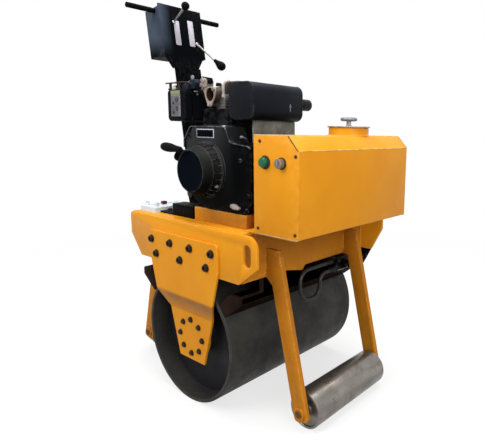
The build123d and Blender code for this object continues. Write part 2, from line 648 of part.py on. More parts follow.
def cylinder_head():
    """Casting with the rocker cover on it and the intake port on its right."""
    sx, sy = HEAD_SIZE
    seat = CYLINDER_TOP + HEAD_CASTING
    casting = block((CRANK_X - sx / 2, CRANK_X + sx / 2),
                    (CYLINDER_Y - sy / 2, CYLINDER_Y + sy / 2), (CYLINDER_TOP, seat))
    cover = block((CRANK_X - sx / 2 + COVER_INSET, CRANK_X + sx / 2 - COVER_INSET),
                  (CYLINDER_Y - sy / 2 + COVER_INSET, CYLINDER_Y + sy / 2 - COVER_INSET),
                  (seat, HEAD_TOP))
    cover = fillet(cover.edges().filter_by(Axis.Z), COVER_RADIUS)
    z = CYLINDER_TOP + PORT_RISE
    port = rod_y(PORT_X, z, PORT_DIAMETER, PORT_FACE, CYLINDER_Y)
    bore = rod_y(PORT_X, z, PORT_BORE, PORT_FACE, PORT_FACE + PORT_DEPTH)
    return casting + cover + port - bore


def air_cleaner():
    shape = block(CLEANER_X, CLEANER_Y, CLEANER_Z)
    return fillet(shape.edges().filter_by(Axis.Y), CLEANER_RADIUS)


def intake_pipe():
    z = CLEANER_Z[0] + INTAKE_RISE
    y = CLEANER_Y[1] - INTAKE_INSET
    x0, x1 = CLEANER_X[1], CRANK_X - HEAD_SIZE[0] / 2
    return Pos((x0 + x1) / 2, y, z) * Rot(0, 90, 0) * Cylinder(INTAKE_DIAMETER / 2, x1 - x0)


def muffler():
    shape = block(MUFFLER_X, MUFFLER_Y, MUFFLER_Z)
    return fillet(shape.edges().filter_by(Axis.Y), MUFFLER_RADIUS)


def exhaust_flange():
    face = CRANK_X + HEAD_SIZE[0] / 2
    z = (MUFFLER_Z[0] + MUFFLER_Z[1]) / 2
    x0, x1 = face, MUFFLER_X[0]
    return Pos((x0 + x1) / 2, CYLINDER_Y, z) * Rot(0, 90, 0) * Cylinder(OUTLET_DIAMETER / 2, x1 - x0)


def exhaust_outlet():
    x = MUFFLER_X[1] - OUTLET_INSET
    z = (MUFFLER_Z[0] + MUFFLER_Z[1]) / 2
    pipe = rod_y(x, z, OUTLET_DIAMETER, MUFFLER_Y[1], MUFFLER_Y[1] + OUTLET_LENGTH)
    bore = rod_y(x, z, OUTLET_DIAMETER - 2 * OUTLET_WALL, MUFFLER_Y[1] + OUTLET_WALL,
                 MUFFLER_Y[1] + OUTLET_LENGTH)
    return pipe - bore


def muffler_bracket():
    return block((BRACKET_X, BRACKET_X + BRACKET_THICKNESS), BRACKET_Y,
                 (CASE_SIDE_TOP, MUFFLER_Z[0]))


# ---- Deck items ---------------------------------------------------------
def battery():
    top = FRAME_TOP + BATTERY_PROUD
    return block(BATTERY_X, BATTERY_Y, (top - BATTERY_HEIGHT, top))


def battery_tray():
    return block((BATTERY_X[0], BATTERY_X[1]), BATTERY_Y, (TRAY_Z, TRAY_Z + TRAY_THICKNESS))


def relay_box():
    box = block(RELAY_X, RELAY_Y, (FRAME_TOP + FOOT_THICKNESS, FRAME_TOP + RELAY_HEIGHT))
    foot = block((RELAY_X[0] - FOOT_MARGIN, RELAY_X[1]), RELAY_Y,
                 (FRAME_TOP, FRAME_TOP + FOOT_THICKNESS))
    return box + foot


# ---- Hydraulics ---------------------------------------------------------
def hydraulic_valve():
    return block(VALVE_X, VALVE_Y, (FRAME_BOTTOM - VALVE_HEIGHT, FRAME_BOTTOM))


def hydraulic_hose():
    path = FilletPolyline(*HOSE_ROUTE, radius=list(HOSE_RADII))
    start = Plane(origin=path @ 0, z_dir=path % 0)
    return sweep(start * Circle(HOSE_DIAMETER / 2), path=path)


# ---- Handle -------------------------------------------------------------
def handle_base():
    """Foot plate on the deck with the two ears that carry the handle's pin."""
    x, z = HANDLE_PIVOT
    half = EAR_WIDTH / 2
    inner = COLUMN_WIDTH / 2 + PIVOT_SIDE_GAP
    outer = inner + EAR_THICKNESS
    rear = FRAME_REAR + BASE_EDGE
    front = rear + BASE_LENGTH
    foot = block((rear, front), (-outer, outer), (FRAME_TOP, FRAME_TOP + FOOT_THICKNESS))
    for side in (-1, 1):
        y0, y1 = side * inner, side * outer
        gusset = [(rear, FRAME_TOP), (front, FRAME_TOP), (x + half, z), (x - half, z)]
        foot += plate_xz(gusset, y0, y1)
        foot += rod_y(x, z, EAR_WIDTH, y0, y1)
    return foot - rod_y(x, z, PIVOT_DIAMETER, -outer, outer)


def handle_pin():
    x, z = HANDLE_PIVOT
    end = COLUMN_WIDTH / 2 + PIVOT_SIDE_GAP + EAR_THICKNESS
    head = PIVOT_DIAMETER / 2
    pin = rod_y(x, z, PIVOT_DIAMETER, -end, end)
    for side in (-1, 1):
        pin += rod_y(x, z, 2 * PIVOT_DIAMETER, side * end, side * (end + head))
    return pin


def handle_column():
    half = COLUMN_WIDTH / 2
    tube = block((COLUMN_FACE - COLUMN_DEPTH, COLUMN_FACE), (-half, half),
                 (0, CONSOLE_BOTTOM - CONSOLE_TAPER))
    tube += rod_y(0, 0, KNUCKLE_DIAMETER, -half, half)
    return handle_place(tube - rod_y(0, 0, PIVOT_DIAMETER + 2 * RUNNING_FIT, -half, half))


def console():
    """Box with a sheet standing above its front edge and a flat neck under it."""
    narrow, neck, wide = COLUMN_WIDTH / 2, CONSOLE_NECK_WIDTH / 2, CONSOLE_WIDTH / 2
    low = CONSOLE_BOTTOM - CONSOLE_TAPER
    shape = block((CONSOLE_FACE - CONSOLE_DEPTH, CONSOLE_FACE), (-wide, wide),
                  (CONSOLE_BOTTOM, CONSOLE_TOP - CONSOLE_LIP))
    shape += block((CONSOLE_FACE - CONSOLE_SHEET, CONSOLE_FACE), (-wide, wide),
                   (CONSOLE_BOTTOM, CONSOLE_TOP))
    shape += plate_yz([(-narrow, low), (narrow, low), (neck, CONSOLE_BOTTOM),
                       (-neck, CONSOLE_BOTTOM)], CONSOLE_FACE - COLUMN_DEPTH, CONSOLE_FACE)
    return handle_place(shape - rod_y(BAR_OFFSET, BAR_HEIGHT, BAR_DIAMETER, -wide, wide))


def handlebar():
    half = BAR_LENGTH / 2
    return handle_place(rod_y(BAR_OFFSET, BAR_HEIGHT, BAR_DIAMETER, -half, half))


def hand_grip(side):
    half = BAR_LENGTH / 2
    grip = rod_y(BAR_OFFSET, BAR_HEIGHT, HAND_GRIP_DIAMETER, -half, -half + HAND_GRIP_LENGTH)
    grip -= rod_y(BAR_OFFSET, BAR_HEIGHT, BAR_DIAMETER, -half, -half + HAND_GRIP_LENGTH)
    return handle_place(mirrored(grip, side))


def lever(places, knob):
    """Rod standing out of the console's face, with a ball at its tip."""
    y, root_below, tip_below, reach = places
    root = Vector(CONSOLE_FACE, y, BAR_HEIGHT - root_below)
    tip = Vector(CONSOLE_FACE + reach, y, BAR_HEIGHT - tip_below)
    start = root - (tip - root).normalized() * LEVER_DIAMETER
    half = CONSOLE_WIDTH / 2
    rod = rod_between(start, tip, LEVER_DIAMETER)
    rod -= block((CONSOLE_FACE - CONSOLE_DEPTH, CONSOLE_FACE), (-half, half), (0, CONSOLE_TOP))
    return handle_place(rod + Pos(*tip) * Sphere(knob / 2))


# ---- Assembly -----------------------------------------------------------
for name, side in SIDES:
    nodes[f"drum_carrier_{name}"] = drum_carrier(side) + carrier_bolts(side)
    nodes[f"drum_stub_{name}"] = drum_stub(side)
    nodes[f"drum_head_{name}"] = drum_head(side)
    nodes[f"front_leg_{name}"] = front_leg(side)
    nodes[f"rear_leg_{name}"] = rear_leg(side)
    nodes[f"tank_panel_{name}"] = tank_panel(side)
    nodes[f"hand_grip_{name}"] = hand_grip(side)

nodes["side_plate_right"] = right_side_plate()
nodes["side_plate_left"] = left_side_plate()
nodes["belt_guard"] = belt_guard()
nodes["deck_plate"] = deck_plate()
nodes["front_crossmember"] = front_crossmember()
nodes["rear_crossmember"] = rear_crossmember()
nodes["drum_shell"] = drum_shell()
nodes["front_roller"] = roller(ROLLER_REACH, ROLLER_RADIUS)
nodes["rear_roller"] = roller(-ROLLER_REACH, ROLLER_RADIUS + REAR_ROLLER_LIFT)
nodes["front_axle"] = axle(ROLLER_REACH, ROLLER_RADIUS)
nodes["rear_axle"] = axle(-ROLLER_REACH, ROLLER_RADIUS + REAR_ROLLER_LIFT)
nodes["front_scraper"] = scraper(True)
nodes["rear_scraper"] = scraper(False)
nodes["tank_housing"] = tank_housing()
nodes["tank_shelf"] = tank_shelf()
nodes["filler_neck"] = filler_neck()
nodes["filler_lid"] = filler_lid()
nodes["start_button"] = start_button()
nodes["key_switch"] = key_switch()
nodes["engine_bed"] = engine_bed()
nodes["crankcase"] = crankcase()
nodes["fan_shroud"] = fan_shroud()
nodes["recoil_starter"] = recoil_starter()
nodes["recoil_grip"] = recoil_grip()
nodes["cylinder_barrel"] = cylinder_barrel()
nodes["cylinder_head"] = cylinder_head()
nodes["air_cleaner"] = air_cleaner()
nodes["intake_pipe"] = intake_pipe()
nodes["muffler"] = muffler()
nodes["exhaust_flange"] = exhaust_flange()
nodes["exhaust_outlet"] = exhaust_outlet()
nodes["muffler_bracket"] = muffler_bracket()
nodes["battery"] = battery()
nodes["battery_tray"] = battery_tray()
nodes["relay_box"] = relay_box()
nodes["hydraulic_valve"] = hydraulic_valve()
nodes["hydraulic_hose"] = hydraulic_hose()
nodes["handle_base"] = handle_base()
nodes["handle_pin"] = handle_pin()
nodes["handle_column"] = handle_column()
nodes["console"] = console()
nodes["handlebar"] = handlebar()
nodes["drive_lever"] = lever(DRIVE_LEVER, DRIVE_BALL_DIAMETER)
nodes["throttle_lever"] = lever(THROTTLE_LEVER, THROTTLE_KNOB_DIAMETER)

os.makedirs("parts", exist_ok=True)
for name, shape in nodes.items():
    export_step(shape, f"parts/{name}.step")
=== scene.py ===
"""Dresses a walk-behind road roller: finishes, fasteners, engine detail, floor, light, camera.

Lengths are in millimetres until a mesh is made. +X is forward, +Y the machine's left, +Z up.
"""
import math
import random

import bmesh
import bpy
from mathutils import Matrix, Vector


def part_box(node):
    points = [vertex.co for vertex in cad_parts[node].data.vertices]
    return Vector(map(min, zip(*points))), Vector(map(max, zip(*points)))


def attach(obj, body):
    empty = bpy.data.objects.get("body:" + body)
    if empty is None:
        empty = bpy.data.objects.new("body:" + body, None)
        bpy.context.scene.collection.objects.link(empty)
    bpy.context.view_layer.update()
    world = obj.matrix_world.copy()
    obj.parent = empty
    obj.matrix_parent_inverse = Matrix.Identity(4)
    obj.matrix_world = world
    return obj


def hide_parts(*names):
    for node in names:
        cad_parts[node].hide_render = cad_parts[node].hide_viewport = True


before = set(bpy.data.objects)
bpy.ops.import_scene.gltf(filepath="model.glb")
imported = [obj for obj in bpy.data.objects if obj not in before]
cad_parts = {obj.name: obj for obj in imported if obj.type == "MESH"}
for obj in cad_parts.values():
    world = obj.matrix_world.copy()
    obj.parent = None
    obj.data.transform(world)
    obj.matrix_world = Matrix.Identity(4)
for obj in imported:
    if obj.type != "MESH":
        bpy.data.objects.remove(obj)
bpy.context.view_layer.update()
MM = 0.001
random.seed(11)

# ---- Fasteners: across flats, head height, washer diameter, washer thickness --
M10 = (15.0, 6.5, 20.0, 2.0)
M8 = (13.0, 5.5, 17.0, 1.6)
M6 = (10.0, 4.0, 13.0, 1.2)
M5_SCREW = 9.5                  # head diameter of a small panel screw

AXES = {"x": Vector((1, 0, 0)), "y": Vector((0, 1, 0)), "z": Vector((0, 0, 1))}
OUT = Vector((0, -1, 0))        # out of the machine's right-hand side
SIDES = (("right", -1), ("left", 1))

# ---- Grain of bare metal: how noise is stretched along X, Y and Z -------------
EVEN = (1.0, 1.0, 1.0)          # no direction
ALONG_AXIS = (1.0, 0.06, 1.0)   # streaks along a turned piece
ROUND_AXIS = (0.5, 9.0, 0.5)    # streaks round it


# ---- Shader nodes -------------------------------------------------------
class Nodes:
    """A node tree, with short ways to add the nodes used here."""

    def __init__(self, tree):
        self.tree = tree

    def node(self, kind, **values):
        made = self.tree.nodes.new(kind)
        for key, value in values.items():
            setattr(made, key, value)
        return made

    def link(self, out, into):
        self.tree.links.new(out, into)

    def math(self, operation, a, b):
        result = self.node("ShaderNodeMath", operation=operation)
        self.link(a, result.inputs[0])
        self.link(b, result.inputs[1])
        return result.outputs[0]

    def spread(self, value, low, high, to_low=0.0, to_high=1.0):
        """Map a value from low..high to another range, and clamp it there."""
        ranger = self.node("ShaderNodeMapRange")
        for key, number in (("From Min", low), ("From Max", high),
                            ("To Min", to_low), ("To Max", to_high)):
            ranger.inputs[key].default_value = number
        self.link(value, ranger.inputs["Value"])
        return ranger.outputs["Result"]

    def looked_at(self, rays):
        """1 for a ray that shows the backdrop, and 0 for one that only lights the object."""
        seen = self.math("MAXIMUM", rays["Is Camera Ray"], rays["Is Glossy Ray"])
        return self.math("MAXIMUM", seen, rays["Is Transmission Ray"])


class Shader(Nodes):
    """A material and its node tree."""

    def __init__(self, name):
        self.material = bpy.data.materials.new(name)
        self.material.use_nodes = True
        super().__init__(self.material.node_tree)
        self.principled = self.tree.nodes["Principled BSDF"]
        self.coordinates = self.node("ShaderNodeTexCoord").outputs["Object"]

    def noise(self, scale, detail=4.0, roughness=0.55, stretch=(1, 1, 1)):
        mapping = self.node("ShaderNodeMapping")
        mapping.inputs["Scale"].default_value = stretch
        self.link(self.coordinates, mapping.inputs["Vector"])
        noise = self.node("ShaderNodeTexNoise")
        for key, number in (("Scale", scale), ("Detail", detail), ("Roughness", roughness)):
            noise.inputs[key].default_value = number
        self.link(mapping.outputs["Vector"], noise.inputs["Vector"])
        return noise.outputs["Fac"]

    def blend(self, factor, a, b):
        """Mix two colours; each is an output or a plain colour."""
        mix = self.node("ShaderNodeMix", data_type="RGBA")
        self.link(factor, mix.inputs["Factor"])
        for key, colour in (("A", a), ("B", b)):
            target = [i for i in mix.inputs if i.name == key and i.type == "RGBA"][0]
            if isinstance(colour, tuple):
                target.default_value = (*colour, 1.0)
            else:
                self.link(colour, target)
        return [out for out in mix.outputs if out.type == "RGBA"][0]

    def times(self, a, b):
        return self.math("MULTIPLY", a, b)

    def edges(self, radius):
        """1 on sharp edges and 0 on flats."""
        bevel = self.node("ShaderNodeBevel", samples=4)
        bevel.inputs["Radius"].default_value = radius * MM
        geometry = self.node("ShaderNodeNewGeometry")
        dot = self.node("ShaderNodeVectorMath", operation="DOT_PRODUCT")
        self.link(bevel.outputs["Normal"], dot.inputs[0])
        self.link(geometry.outputs["True Normal"], dot.inputs[1])
        return self.spread(dot.outputs["Value"], 0.995, 0.9)

    def bump(self, heights):
        """Chain of bumps: (height output, strength, distance in mm)."""
        normal = None
        for height, strength, distance in heights:
            bump = self.node("ShaderNodeBump")
            bump.inputs["Strength"].default_value = strength
            bump.inputs["Distance"].default_value = distance * MM
            self.link(height, bump.inputs["Height"])
            if normal is not None:
                self.link(normal, bump.inputs["Normal"])
            normal = bump.outputs["Normal"]
        self.link(normal, self.principled.inputs["Normal"])

    def surface(self, base, worn, low, high, smooth, dull):
        """Link the base colour, and a roughness from smooth to dull that follows a worn value."""
        self.link(base, self.principled.inputs["Base Color"])
        self.link(self.spread(worn, low, high, smooth, dull), self.principled.inputs["Roughness"])

    def gloss(self, specular, coat=0.0, tint=(1.0, 1.0, 1.0)):
        """Set how much the surface reflects, and return its material."""
        sockets = self.principled.inputs
        sockets["Specular IOR Level"].default_value = specular
        sockets["Specular Tint"].default_value = (*tint, 1.0)
        sockets["Coat Weight"].default_value = coat
        sockets["Coat Roughness"].default_value = 0.2
        return self.material

    def along(self, axis, low, high, to_low=0.0, to_high=1.0):
        """A value that changes from one end of the object to the other; low and high in mm."""
        parts = self.node("ShaderNodeSeparateXYZ")
        self.link(self.coordinates, parts.inputs["Vector"])
        return self.spread(parts.outputs[axis], low * MM, high * MM, to_low, to_high)


def painted(name, colour, shade, grime, rough, specular=0.2, coat=0.0, peel=0.25, chips=None,
            grime_low=0.6, tint=(1.0, 1.0, 1.0), painted_light=None):
    """Sprayed enamel: orange peel, slow colour drift, settled dirt, worn edges and, where asked,
    painted light and shade.

    painted_light is (colour, masks): painted shade, shadow, sheen or highlight laid over the
    paint, full at each mask's first place in mm along its axis and gone by its second.
    """
    s = Shader(name)
    drift = s.spread(s.noise(5.0, 3.0), 0.35, 0.7)
    base = s.blend(drift, colour, shade)
    if painted_light:
        light_colour, masks = painted_light
        amount = s.spread(s.noise(16.0, 5.0), 0.25, 0.65, 0.55, 1.0)
        for axis, full, gone in masks:
            amount = s.times(amount, s.along(axis, full, gone, 1.0, 0.0))
        base = s.blend(amount, base, light_colour)
    dirt = s.spread(s.noise(14.0, 9.0, 0.68), grime_low, 0.8, 0.0, 0.55)
    base = s.blend(dirt, base, grime)
    if chips:
        worn = s.times(s.edges(2.2), s.spread(s.noise(60.0, 5.0), 0.42, 0.56))
        base = s.blend(worn, base, chips)
    s.surface(base, s.noise(22.0, 6.0), 0.3, 0.75, rough - 0.06, rough + 0.14)
    s.bump([(s.noise(520.0, 2.0), peel, 0.12), (s.noise(30.0, 3.0), 0.08, 0.8)])
    return s.gloss(specular, coat, tint)


def worn_metal(name, colour, shade, stain, rough, metallic=1.0, specular=0.3, stain_low=0.52,
               grain=900.0, depth=0.25, stretch=EVEN):
    """Bare metal with stretched scratches, blotches and stains."""
    s = Shader(name)
    scratches = s.noise(grain, 3.0, 0.6, stretch)
    streaks = s.noise(70.0, 6.0, 0.6, stretch)
    blotches = s.noise(9.0, 8.0, 0.65)
    base = s.blend(s.spread(blotches, 0.35, 0.68), colour, shade)
    base = s.blend(s.spread(s.noise(26.0, 9.0, 0.7), stain_low, 0.74, 0.0, 0.8), base, stain)
    base = s.blend(s.spread(streaks, 0.42, 0.7, 0.0, 0.7), base, shade)
    base = s.blend(s.spread(scratches, 0.45, 0.75, 0.0, 0.45), base, colour)
    s.surface(base, s.noise(18.0, 8.0, 0.7), 0.3, 0.7, rough - 0.1, rough + 0.16)
    s.principled.inputs["Metallic"].default_value = metallic
    s.bump([(scratches, depth, 0.15), (blotches, 0.12, 0.6)])
    return s.gloss(specular)


def moulded(name, colour, shade, rough, grain=700.0, depth=0.25, coat=0.0, specular=0.2):
    """Rubber or plastic with a fine moulded grain."""
    s = Shader(name)
    base = s.blend(s.spread(s.noise(12.0, 6.0), 0.35, 0.7), colour, shade)
    s.surface(base, s.noise(40.0, 5.0), 0.3, 0.7, rough - 0.08, rough + 0.1)
    s.bump([(s.noise(grain, 3.0), depth, 0.15)])
    return s.gloss(specular, coat)


FOLD = (296, 356)               # heights in mm that the drum carriers' fold runs between
YELLOW_ENAMEL = {"colour": (0.71, 0.283, 0.01), "shade": (0.65, 0.24, 0.008),
                 "grime": (0.34, 0.135, 0.014), "rough": 0.36, "specular": 0.1, "coat": 0.02,
                 "chips": (0.84, 0.42, 0.06), "grime_low": 0.66}
ENGINE_ENAMEL = {"colour": (0.0012, 0.0013, 0.0016), "shade": (0.0026, 0.0027, 0.003),
                 "grime": (0.0028, 0.0023, 0.0021), "rough": 0.46, "specular": 0.01,
                 "peel": 0.45, "chips": (0.13, 0.13, 0.135), "tint": (0.8, 0.9, 1.0)}
YELLOW = painted("yellow_enamel", **YELLOW_ENAMEL)
# Darker copy of the yellow enamel for legs, crossmembers, their welds and the axle collars:
# painted shade under the tank, darkest towards the top.
SHADED_YELLOW = painted("shaded_enamel", (0.52, 0.195, 0.011), (0.43, 0.15, 0.009), (0.2, 0.08, 0.014),
               0.44, 0.08, chips=(0.74, 0.36, 0.08), grime_low=0.56,
               painted_light=((0.3, 0.105, 0.009), (("Z", 565, 440),)))
# Engine bed's enamel with a painted shadow of the engine, darker towards +X.
BED_SHADOWED_YELLOW = painted("bed_enamel_shadowed", (0.72, 0.29, 0.012), (0.64, 0.24, 0.01),
                     (0.3, 0.12, 0.016), 0.4, 0.08, chips=(0.84, 0.42, 0.06), grime_low=0.6,
                     painted_light=((0.33, 0.125, 0.014), (("X", 70, -60),)))
# Carriers' enamel with a painted shade band along their fold, between the FOLD heights.
CARRIER_FOLD_SHADED = painted("carrier_enamel_fold_shade", **YELLOW_ENAMEL,
                         painted_light=((0.32, 0.13, 0.018), (("Z", FOLD[1], FOLD[1] + 9),
                                                      ("Z", FOLD[1] - 14, FOLD[0] - 8))))
# Pale yellow of the tank's lid and front crease: painted sheen and highlight, with worn edges.
SHEEN_YELLOW = painted("sheen_yellow_enamel", (0.43, 0.3, 0.04), (0.39, 0.26, 0.032), (0.28, 0.16, 0.025),
                0.42, 0.14, chips=(0.74, 0.56, 0.34), grime_low=0.68)
BLACK = painted("engine_enamel", **ENGINE_ENAMEL)
# Cowl's black, lighter towards its top: a painted highlight.
COWL_BLACK = painted("cowl_enamel", (0.0016, 0.0017, 0.0018), (0.003, 0.003, 0.003),
                     (0.005, 0.0045, 0.004), 0.46, 0.014, peel=0.4, chips=(0.1, 0.1, 0.1),
                     painted_light=((0.02, 0.02, 0.0195), (("Z", 815, 720),)))
CLEANER_BLACK = painted("cleaner_enamel", (0.003, 0.0036, 0.005), (0.0062, 0.0068, 0.008),
                        (0.008, 0.0085, 0.009), 0.44, 0.016, peel=0.3,
                        chips=(0.06, 0.065, 0.07))
# Muffler's black with a painted bluish sheen over its upper front.
MUFFLER_BLACK = painted("muffler_enamel", (0.003, 0.0038, 0.0054), (0.006, 0.007, 0.0095),
                        (0.012, 0.013, 0.016), 0.4, 0.07, peel=0.5,
                        chips=(0.085, 0.09, 0.1), tint=(0.75, 0.85, 1.0),
                        painted_light=((0.014, 0.016, 0.024), (("Z", 1034, 940), ("X", 221, 205))))
# Hood's black with a painted sheen over the upper rear of its side, below its top.
HOOD_BLACK = painted("hood_enamel", **ENGINE_ENAMEL,
                     painted_light=((0.03, 0.031, 0.032), (("X", 90, 185), ("Z", 840, 660),
                                                   ("Z", 897, 904))))
NAVY = painted("recoil_enamel", (0.0008, 0.0018, 0.0042), (0.0012, 0.0028, 0.006),
               (0.003, 0.005, 0.008), 0.5, 0.01, peel=0.3)
# Lighter black of the hood's pressed edge: worn paint and a painted highlight.
RIM_WEAR_AND_HIGHLIGHT = painted("rim_wear_and_highlight_enamel", (0.014, 0.015, 0.017), (0.028, 0.03, 0.033),
                    (0.045, 0.045, 0.045), 0.4, 0.1, chips=(0.2, 0.21, 0.225))
# Black of the recoil starter's edge rings and louvre crests, lighter towards the top: painted
# highlights.
RING_HIGHLIGHT = painted("ring_highlight_enamel", (0.003, 0.0035, 0.0045), (0.006, 0.0065, 0.0075),
                     (0.008, 0.008, 0.008), 0.42, 0.03, chips=(0.03, 0.032, 0.034),
                     painted_light=((0.055, 0.056, 0.058), (("Z", 792, 735),)))
GLOSS_BLACK = painted("handle_enamel", (0.0006, 0.0006, 0.0009), (0.0012, 0.0013, 0.0018),
                      (0.0014, 0.0014, 0.0018), 0.46, 0.006, peel=0.2,
                      chips=(0.014, 0.015, 0.018))
# Console's black with a painted bluish reflection towards the machine's right-hand side and the
# top.
CONSOLE_BLACK = painted("console_enamel", (0.0014, 0.0016, 0.0024), (0.0024, 0.0028, 0.004),
                        (0.003, 0.0035, 0.0045), 0.42, 0.015, peel=0.3,
                        chips=(0.04, 0.047, 0.055), tint=(0.8, 0.9, 1.0),
                        painted_light=((0.052, 0.069, 0.096), (("Y", -92, -48), ("Z", 1230, 1160))))
DRUM_STEEL = worn_metal("drum_steel", (0.052, 0.051, 0.046), (0.021, 0.021, 0.02),
                        (0.07, 0.042, 0.027), 0.52, metallic=0.35, specular=0.12,
                        stretch=ROUND_AXIS)
HEAD_STEEL = worn_metal("drum_head_steel", (0.016, 0.016, 0.018), (0.011, 0.011, 0.014),
                        (0.02, 0.017, 0.016), 0.55, metallic=0.2, specular=0.2)
DARK_STEEL = worn_metal("dark_steel", (0.02, 0.02, 0.022), (0.01, 0.01, 0.011),
                        (0.024, 0.018, 0.015), 0.46, metallic=0.4, specular=0.15)
ROLLER_STEEL = worn_metal("roller_steel", (0.31, 0.288, 0.26), (0.15, 0.136, 0.12),
                          (0.095, 0.068, 0.05), 0.3, metallic=0.85, specular=0.2,
                          stretch=ALONG_AXIS)
AXLE_STEEL = worn_metal("axle_steel", (0.15, 0.064, 0.016), (0.085, 0.038, 0.012),
                        (0.05, 0.026, 0.014), 0.5, metallic=0.1, specular=0.2)
BRIGHT_STEEL = worn_metal("zinc_steel", (0.46, 0.45, 0.44), (0.31, 0.3, 0.29),
                          (0.2, 0.17, 0.14), 0.32, metallic=0.85, stain_low=0.6)
SATIN_STEEL = worn_metal("satin_steel", (0.46, 0.44, 0.43), (0.32, 0.295, 0.28),
                         (0.2, 0.16, 0.13), 0.48, metallic=0.25, stain_low=0.64)
SWITCH_STEEL = worn_metal("switch_steel", (0.27, 0.235, 0.205), (0.16, 0.125, 0.1),
                          (0.09, 0.06, 0.045), 0.38, metallic=0.6)
RAW_STEEL = worn_metal("raw_steel", (0.24, 0.245, 0.225), (0.095, 0.1, 0.085),
                       (0.04, 0.026, 0.022), 0.5, metallic=0.4, stain_low=0.4,
                       grain=260.0)
BLACK_OXIDE = worn_metal("black_oxide", (0.013, 0.008, 0.005), (0.022, 0.013, 0.007),
                         (0.038, 0.018, 0.008), 0.45, metallic=0.4, specular=0.2)
BROWN_OXIDE = worn_metal("brown_oxide", (0.06, 0.032, 0.018), (0.03, 0.016, 0.01),
                         (0.12, 0.06, 0.026), 0.5, metallic=0.3, specular=0.2)
CAST_ALLOY = worn_metal("cast_alloy", (0.24, 0.222, 0.205), (0.09, 0.08, 0.073),
                        (0.03, 0.023, 0.02), 0.5, metallic=0.45, stain_low=0.45,
                        grain=420.0, depth=0.5)
DARK_CAST = worn_metal("dark_cast_iron", (0.034, 0.029, 0.027), (0.014, 0.012, 0.012),
                       (0.07, 0.05, 0.04), 0.55, metallic=0.3, stain_low=0.5,
                       grain=420.0, depth=0.5, specular=0.15)
PALE_CAST = worn_metal("pale_casting", (0.43, 0.37, 0.35), (0.17, 0.135, 0.122),
                       (0.05, 0.03, 0.026), 0.5, metallic=0.25, stain_low=0.48,
                       grain=300.0, depth=0.5)
BROWN_CAST = worn_metal("brown_casting", (0.095, 0.062, 0.042), (0.032, 0.02, 0.015),
                        (0.21, 0.155, 0.13), 0.52, metallic=0.3, stain_low=0.62,
                        grain=420.0, depth=0.5)
INSERT_STEEL = worn_metal("insert_steel", (0.27, 0.27, 0.3), (0.15, 0.15, 0.17),
                          (0.07, 0.06, 0.065), 0.45, metallic=0.4, stain_low=0.5)
GASKET = worn_metal("gasket_face", (0.43, 0.35, 0.3), (0.25, 0.175, 0.14),
                    (0.095, 0.056, 0.042), 0.6, metallic=0.1, stain_low=0.54, grain=300.0)
RUBBER = moulded("black_rubber", (0.003, 0.003, 0.003), (0.006, 0.0055, 0.0055), 0.62,
                 specular=0.03)
# Reddish dark rubber of the scrapers and their flaps: rubber colour and painted shade above the
# drum.
SCRAPER_AND_SHADE = moulded("scraper_rubber_and_shade", (0.02, 0.009, 0.0055), (0.01, 0.006, 0.0045), 0.6,
                  specular=0.03)
PLASTIC = moulded("black_plastic", (0.002, 0.002, 0.0025), (0.004, 0.004, 0.0045), 0.46,
                  specular=0.03)
WHITE = moulded("white_plastic", (0.6, 0.66, 0.69), (0.5, 0.55, 0.58), 0.42, depth=0.1)
STRIP = moulded("label_strip", (0.5, 0.48, 0.54), (0.34, 0.32, 0.37), 0.4, depth=0.08)
# Pale strips along the tank lid's sides and the housing's edges: seam sealant and painted
# highlights.
SEALANT_AND_HIGHLIGHT = moulded("pale_sealant_and_highlight", (0.66, 0.47, 0.27), (0.5, 0.31, 0.15), 0.5, depth=0.15)
OLIVE = moulded("olive_label", (0.27, 0.28, 0.145), (0.15, 0.15, 0.085), 0.45, depth=0.08)
GREEN = moulded("green_plastic", (0.004, 0.135, 0.06), (0.003, 0.07, 0.028), 0.3,
                depth=0.08, coat=0.15)
BLUE_BLACK = moulded("blue_black_plastic", (0.003, 0.005, 0.013), (0.007, 0.01, 0.022), 0.45,
                     specular=0.1)
RED = moulded("red_plastic", (0.15, 0.012, 0.04), (0.08, 0.006, 0.02), 0.45)
HOSE = moulded("hose_rubber", (0.01, 0.009, 0.009), (0.018, 0.016, 0.016), 0.36, grain=1200.0,
               specular=0.28)


# ---- Mesh building ------------------------------------------------------
def span(node):
    """A CAD node's lowest and highest corners, in millimetres."""
    low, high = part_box(node)
    return low / MM, high / MM


def direction(axis):
    """Unit vector of an axis letter or of any vector."""
    return (AXES[axis] if isinstance(axis, str) else Vector(axis)).normalized()


def circle(centre, side, up, radius, steps):
    """Points round a centre in the plane of two unit vectors."""
    return [centre + radius * (side * math.cos(t) + up * math.sin(t))
            for t in (2 * math.pi * k / steps for k in range(steps))]


def rectangle(low, high):
    """Outline between two corners, given by their two coordinates."""
    return [(low[0], low[1]), (high[0], low[1]), (high[0], high[1]), (low[0], high[1])]


def rounded(points, radii, steps=6):
    """Polygon with each corner replaced by an arc; radii is one number or one for each corner."""
    out = []
    count = len(points)
    if not isinstance(radii, (list, tuple)):
        radii = [radii] * count
    for i, (here, radius) in enumerate(zip(points, radii)):
        here = Vector(here)
        before = (Vector(points[i - 1]) - here).normalized()
        after = (Vector(points[(i + 1) % count]) - here).normalized()
        half = before.angle(after) / 2
        reach = radius / math.tan(half)
        centre = here + (before + after).normalized() * (radius / math.sin(half))
        start = here + before * reach - centre
        end = here + after * reach - centre
        for k in range(steps + 1):
            out.append(centre + start.slerp(end, k / steps, start).normalized() * radius)
    return out


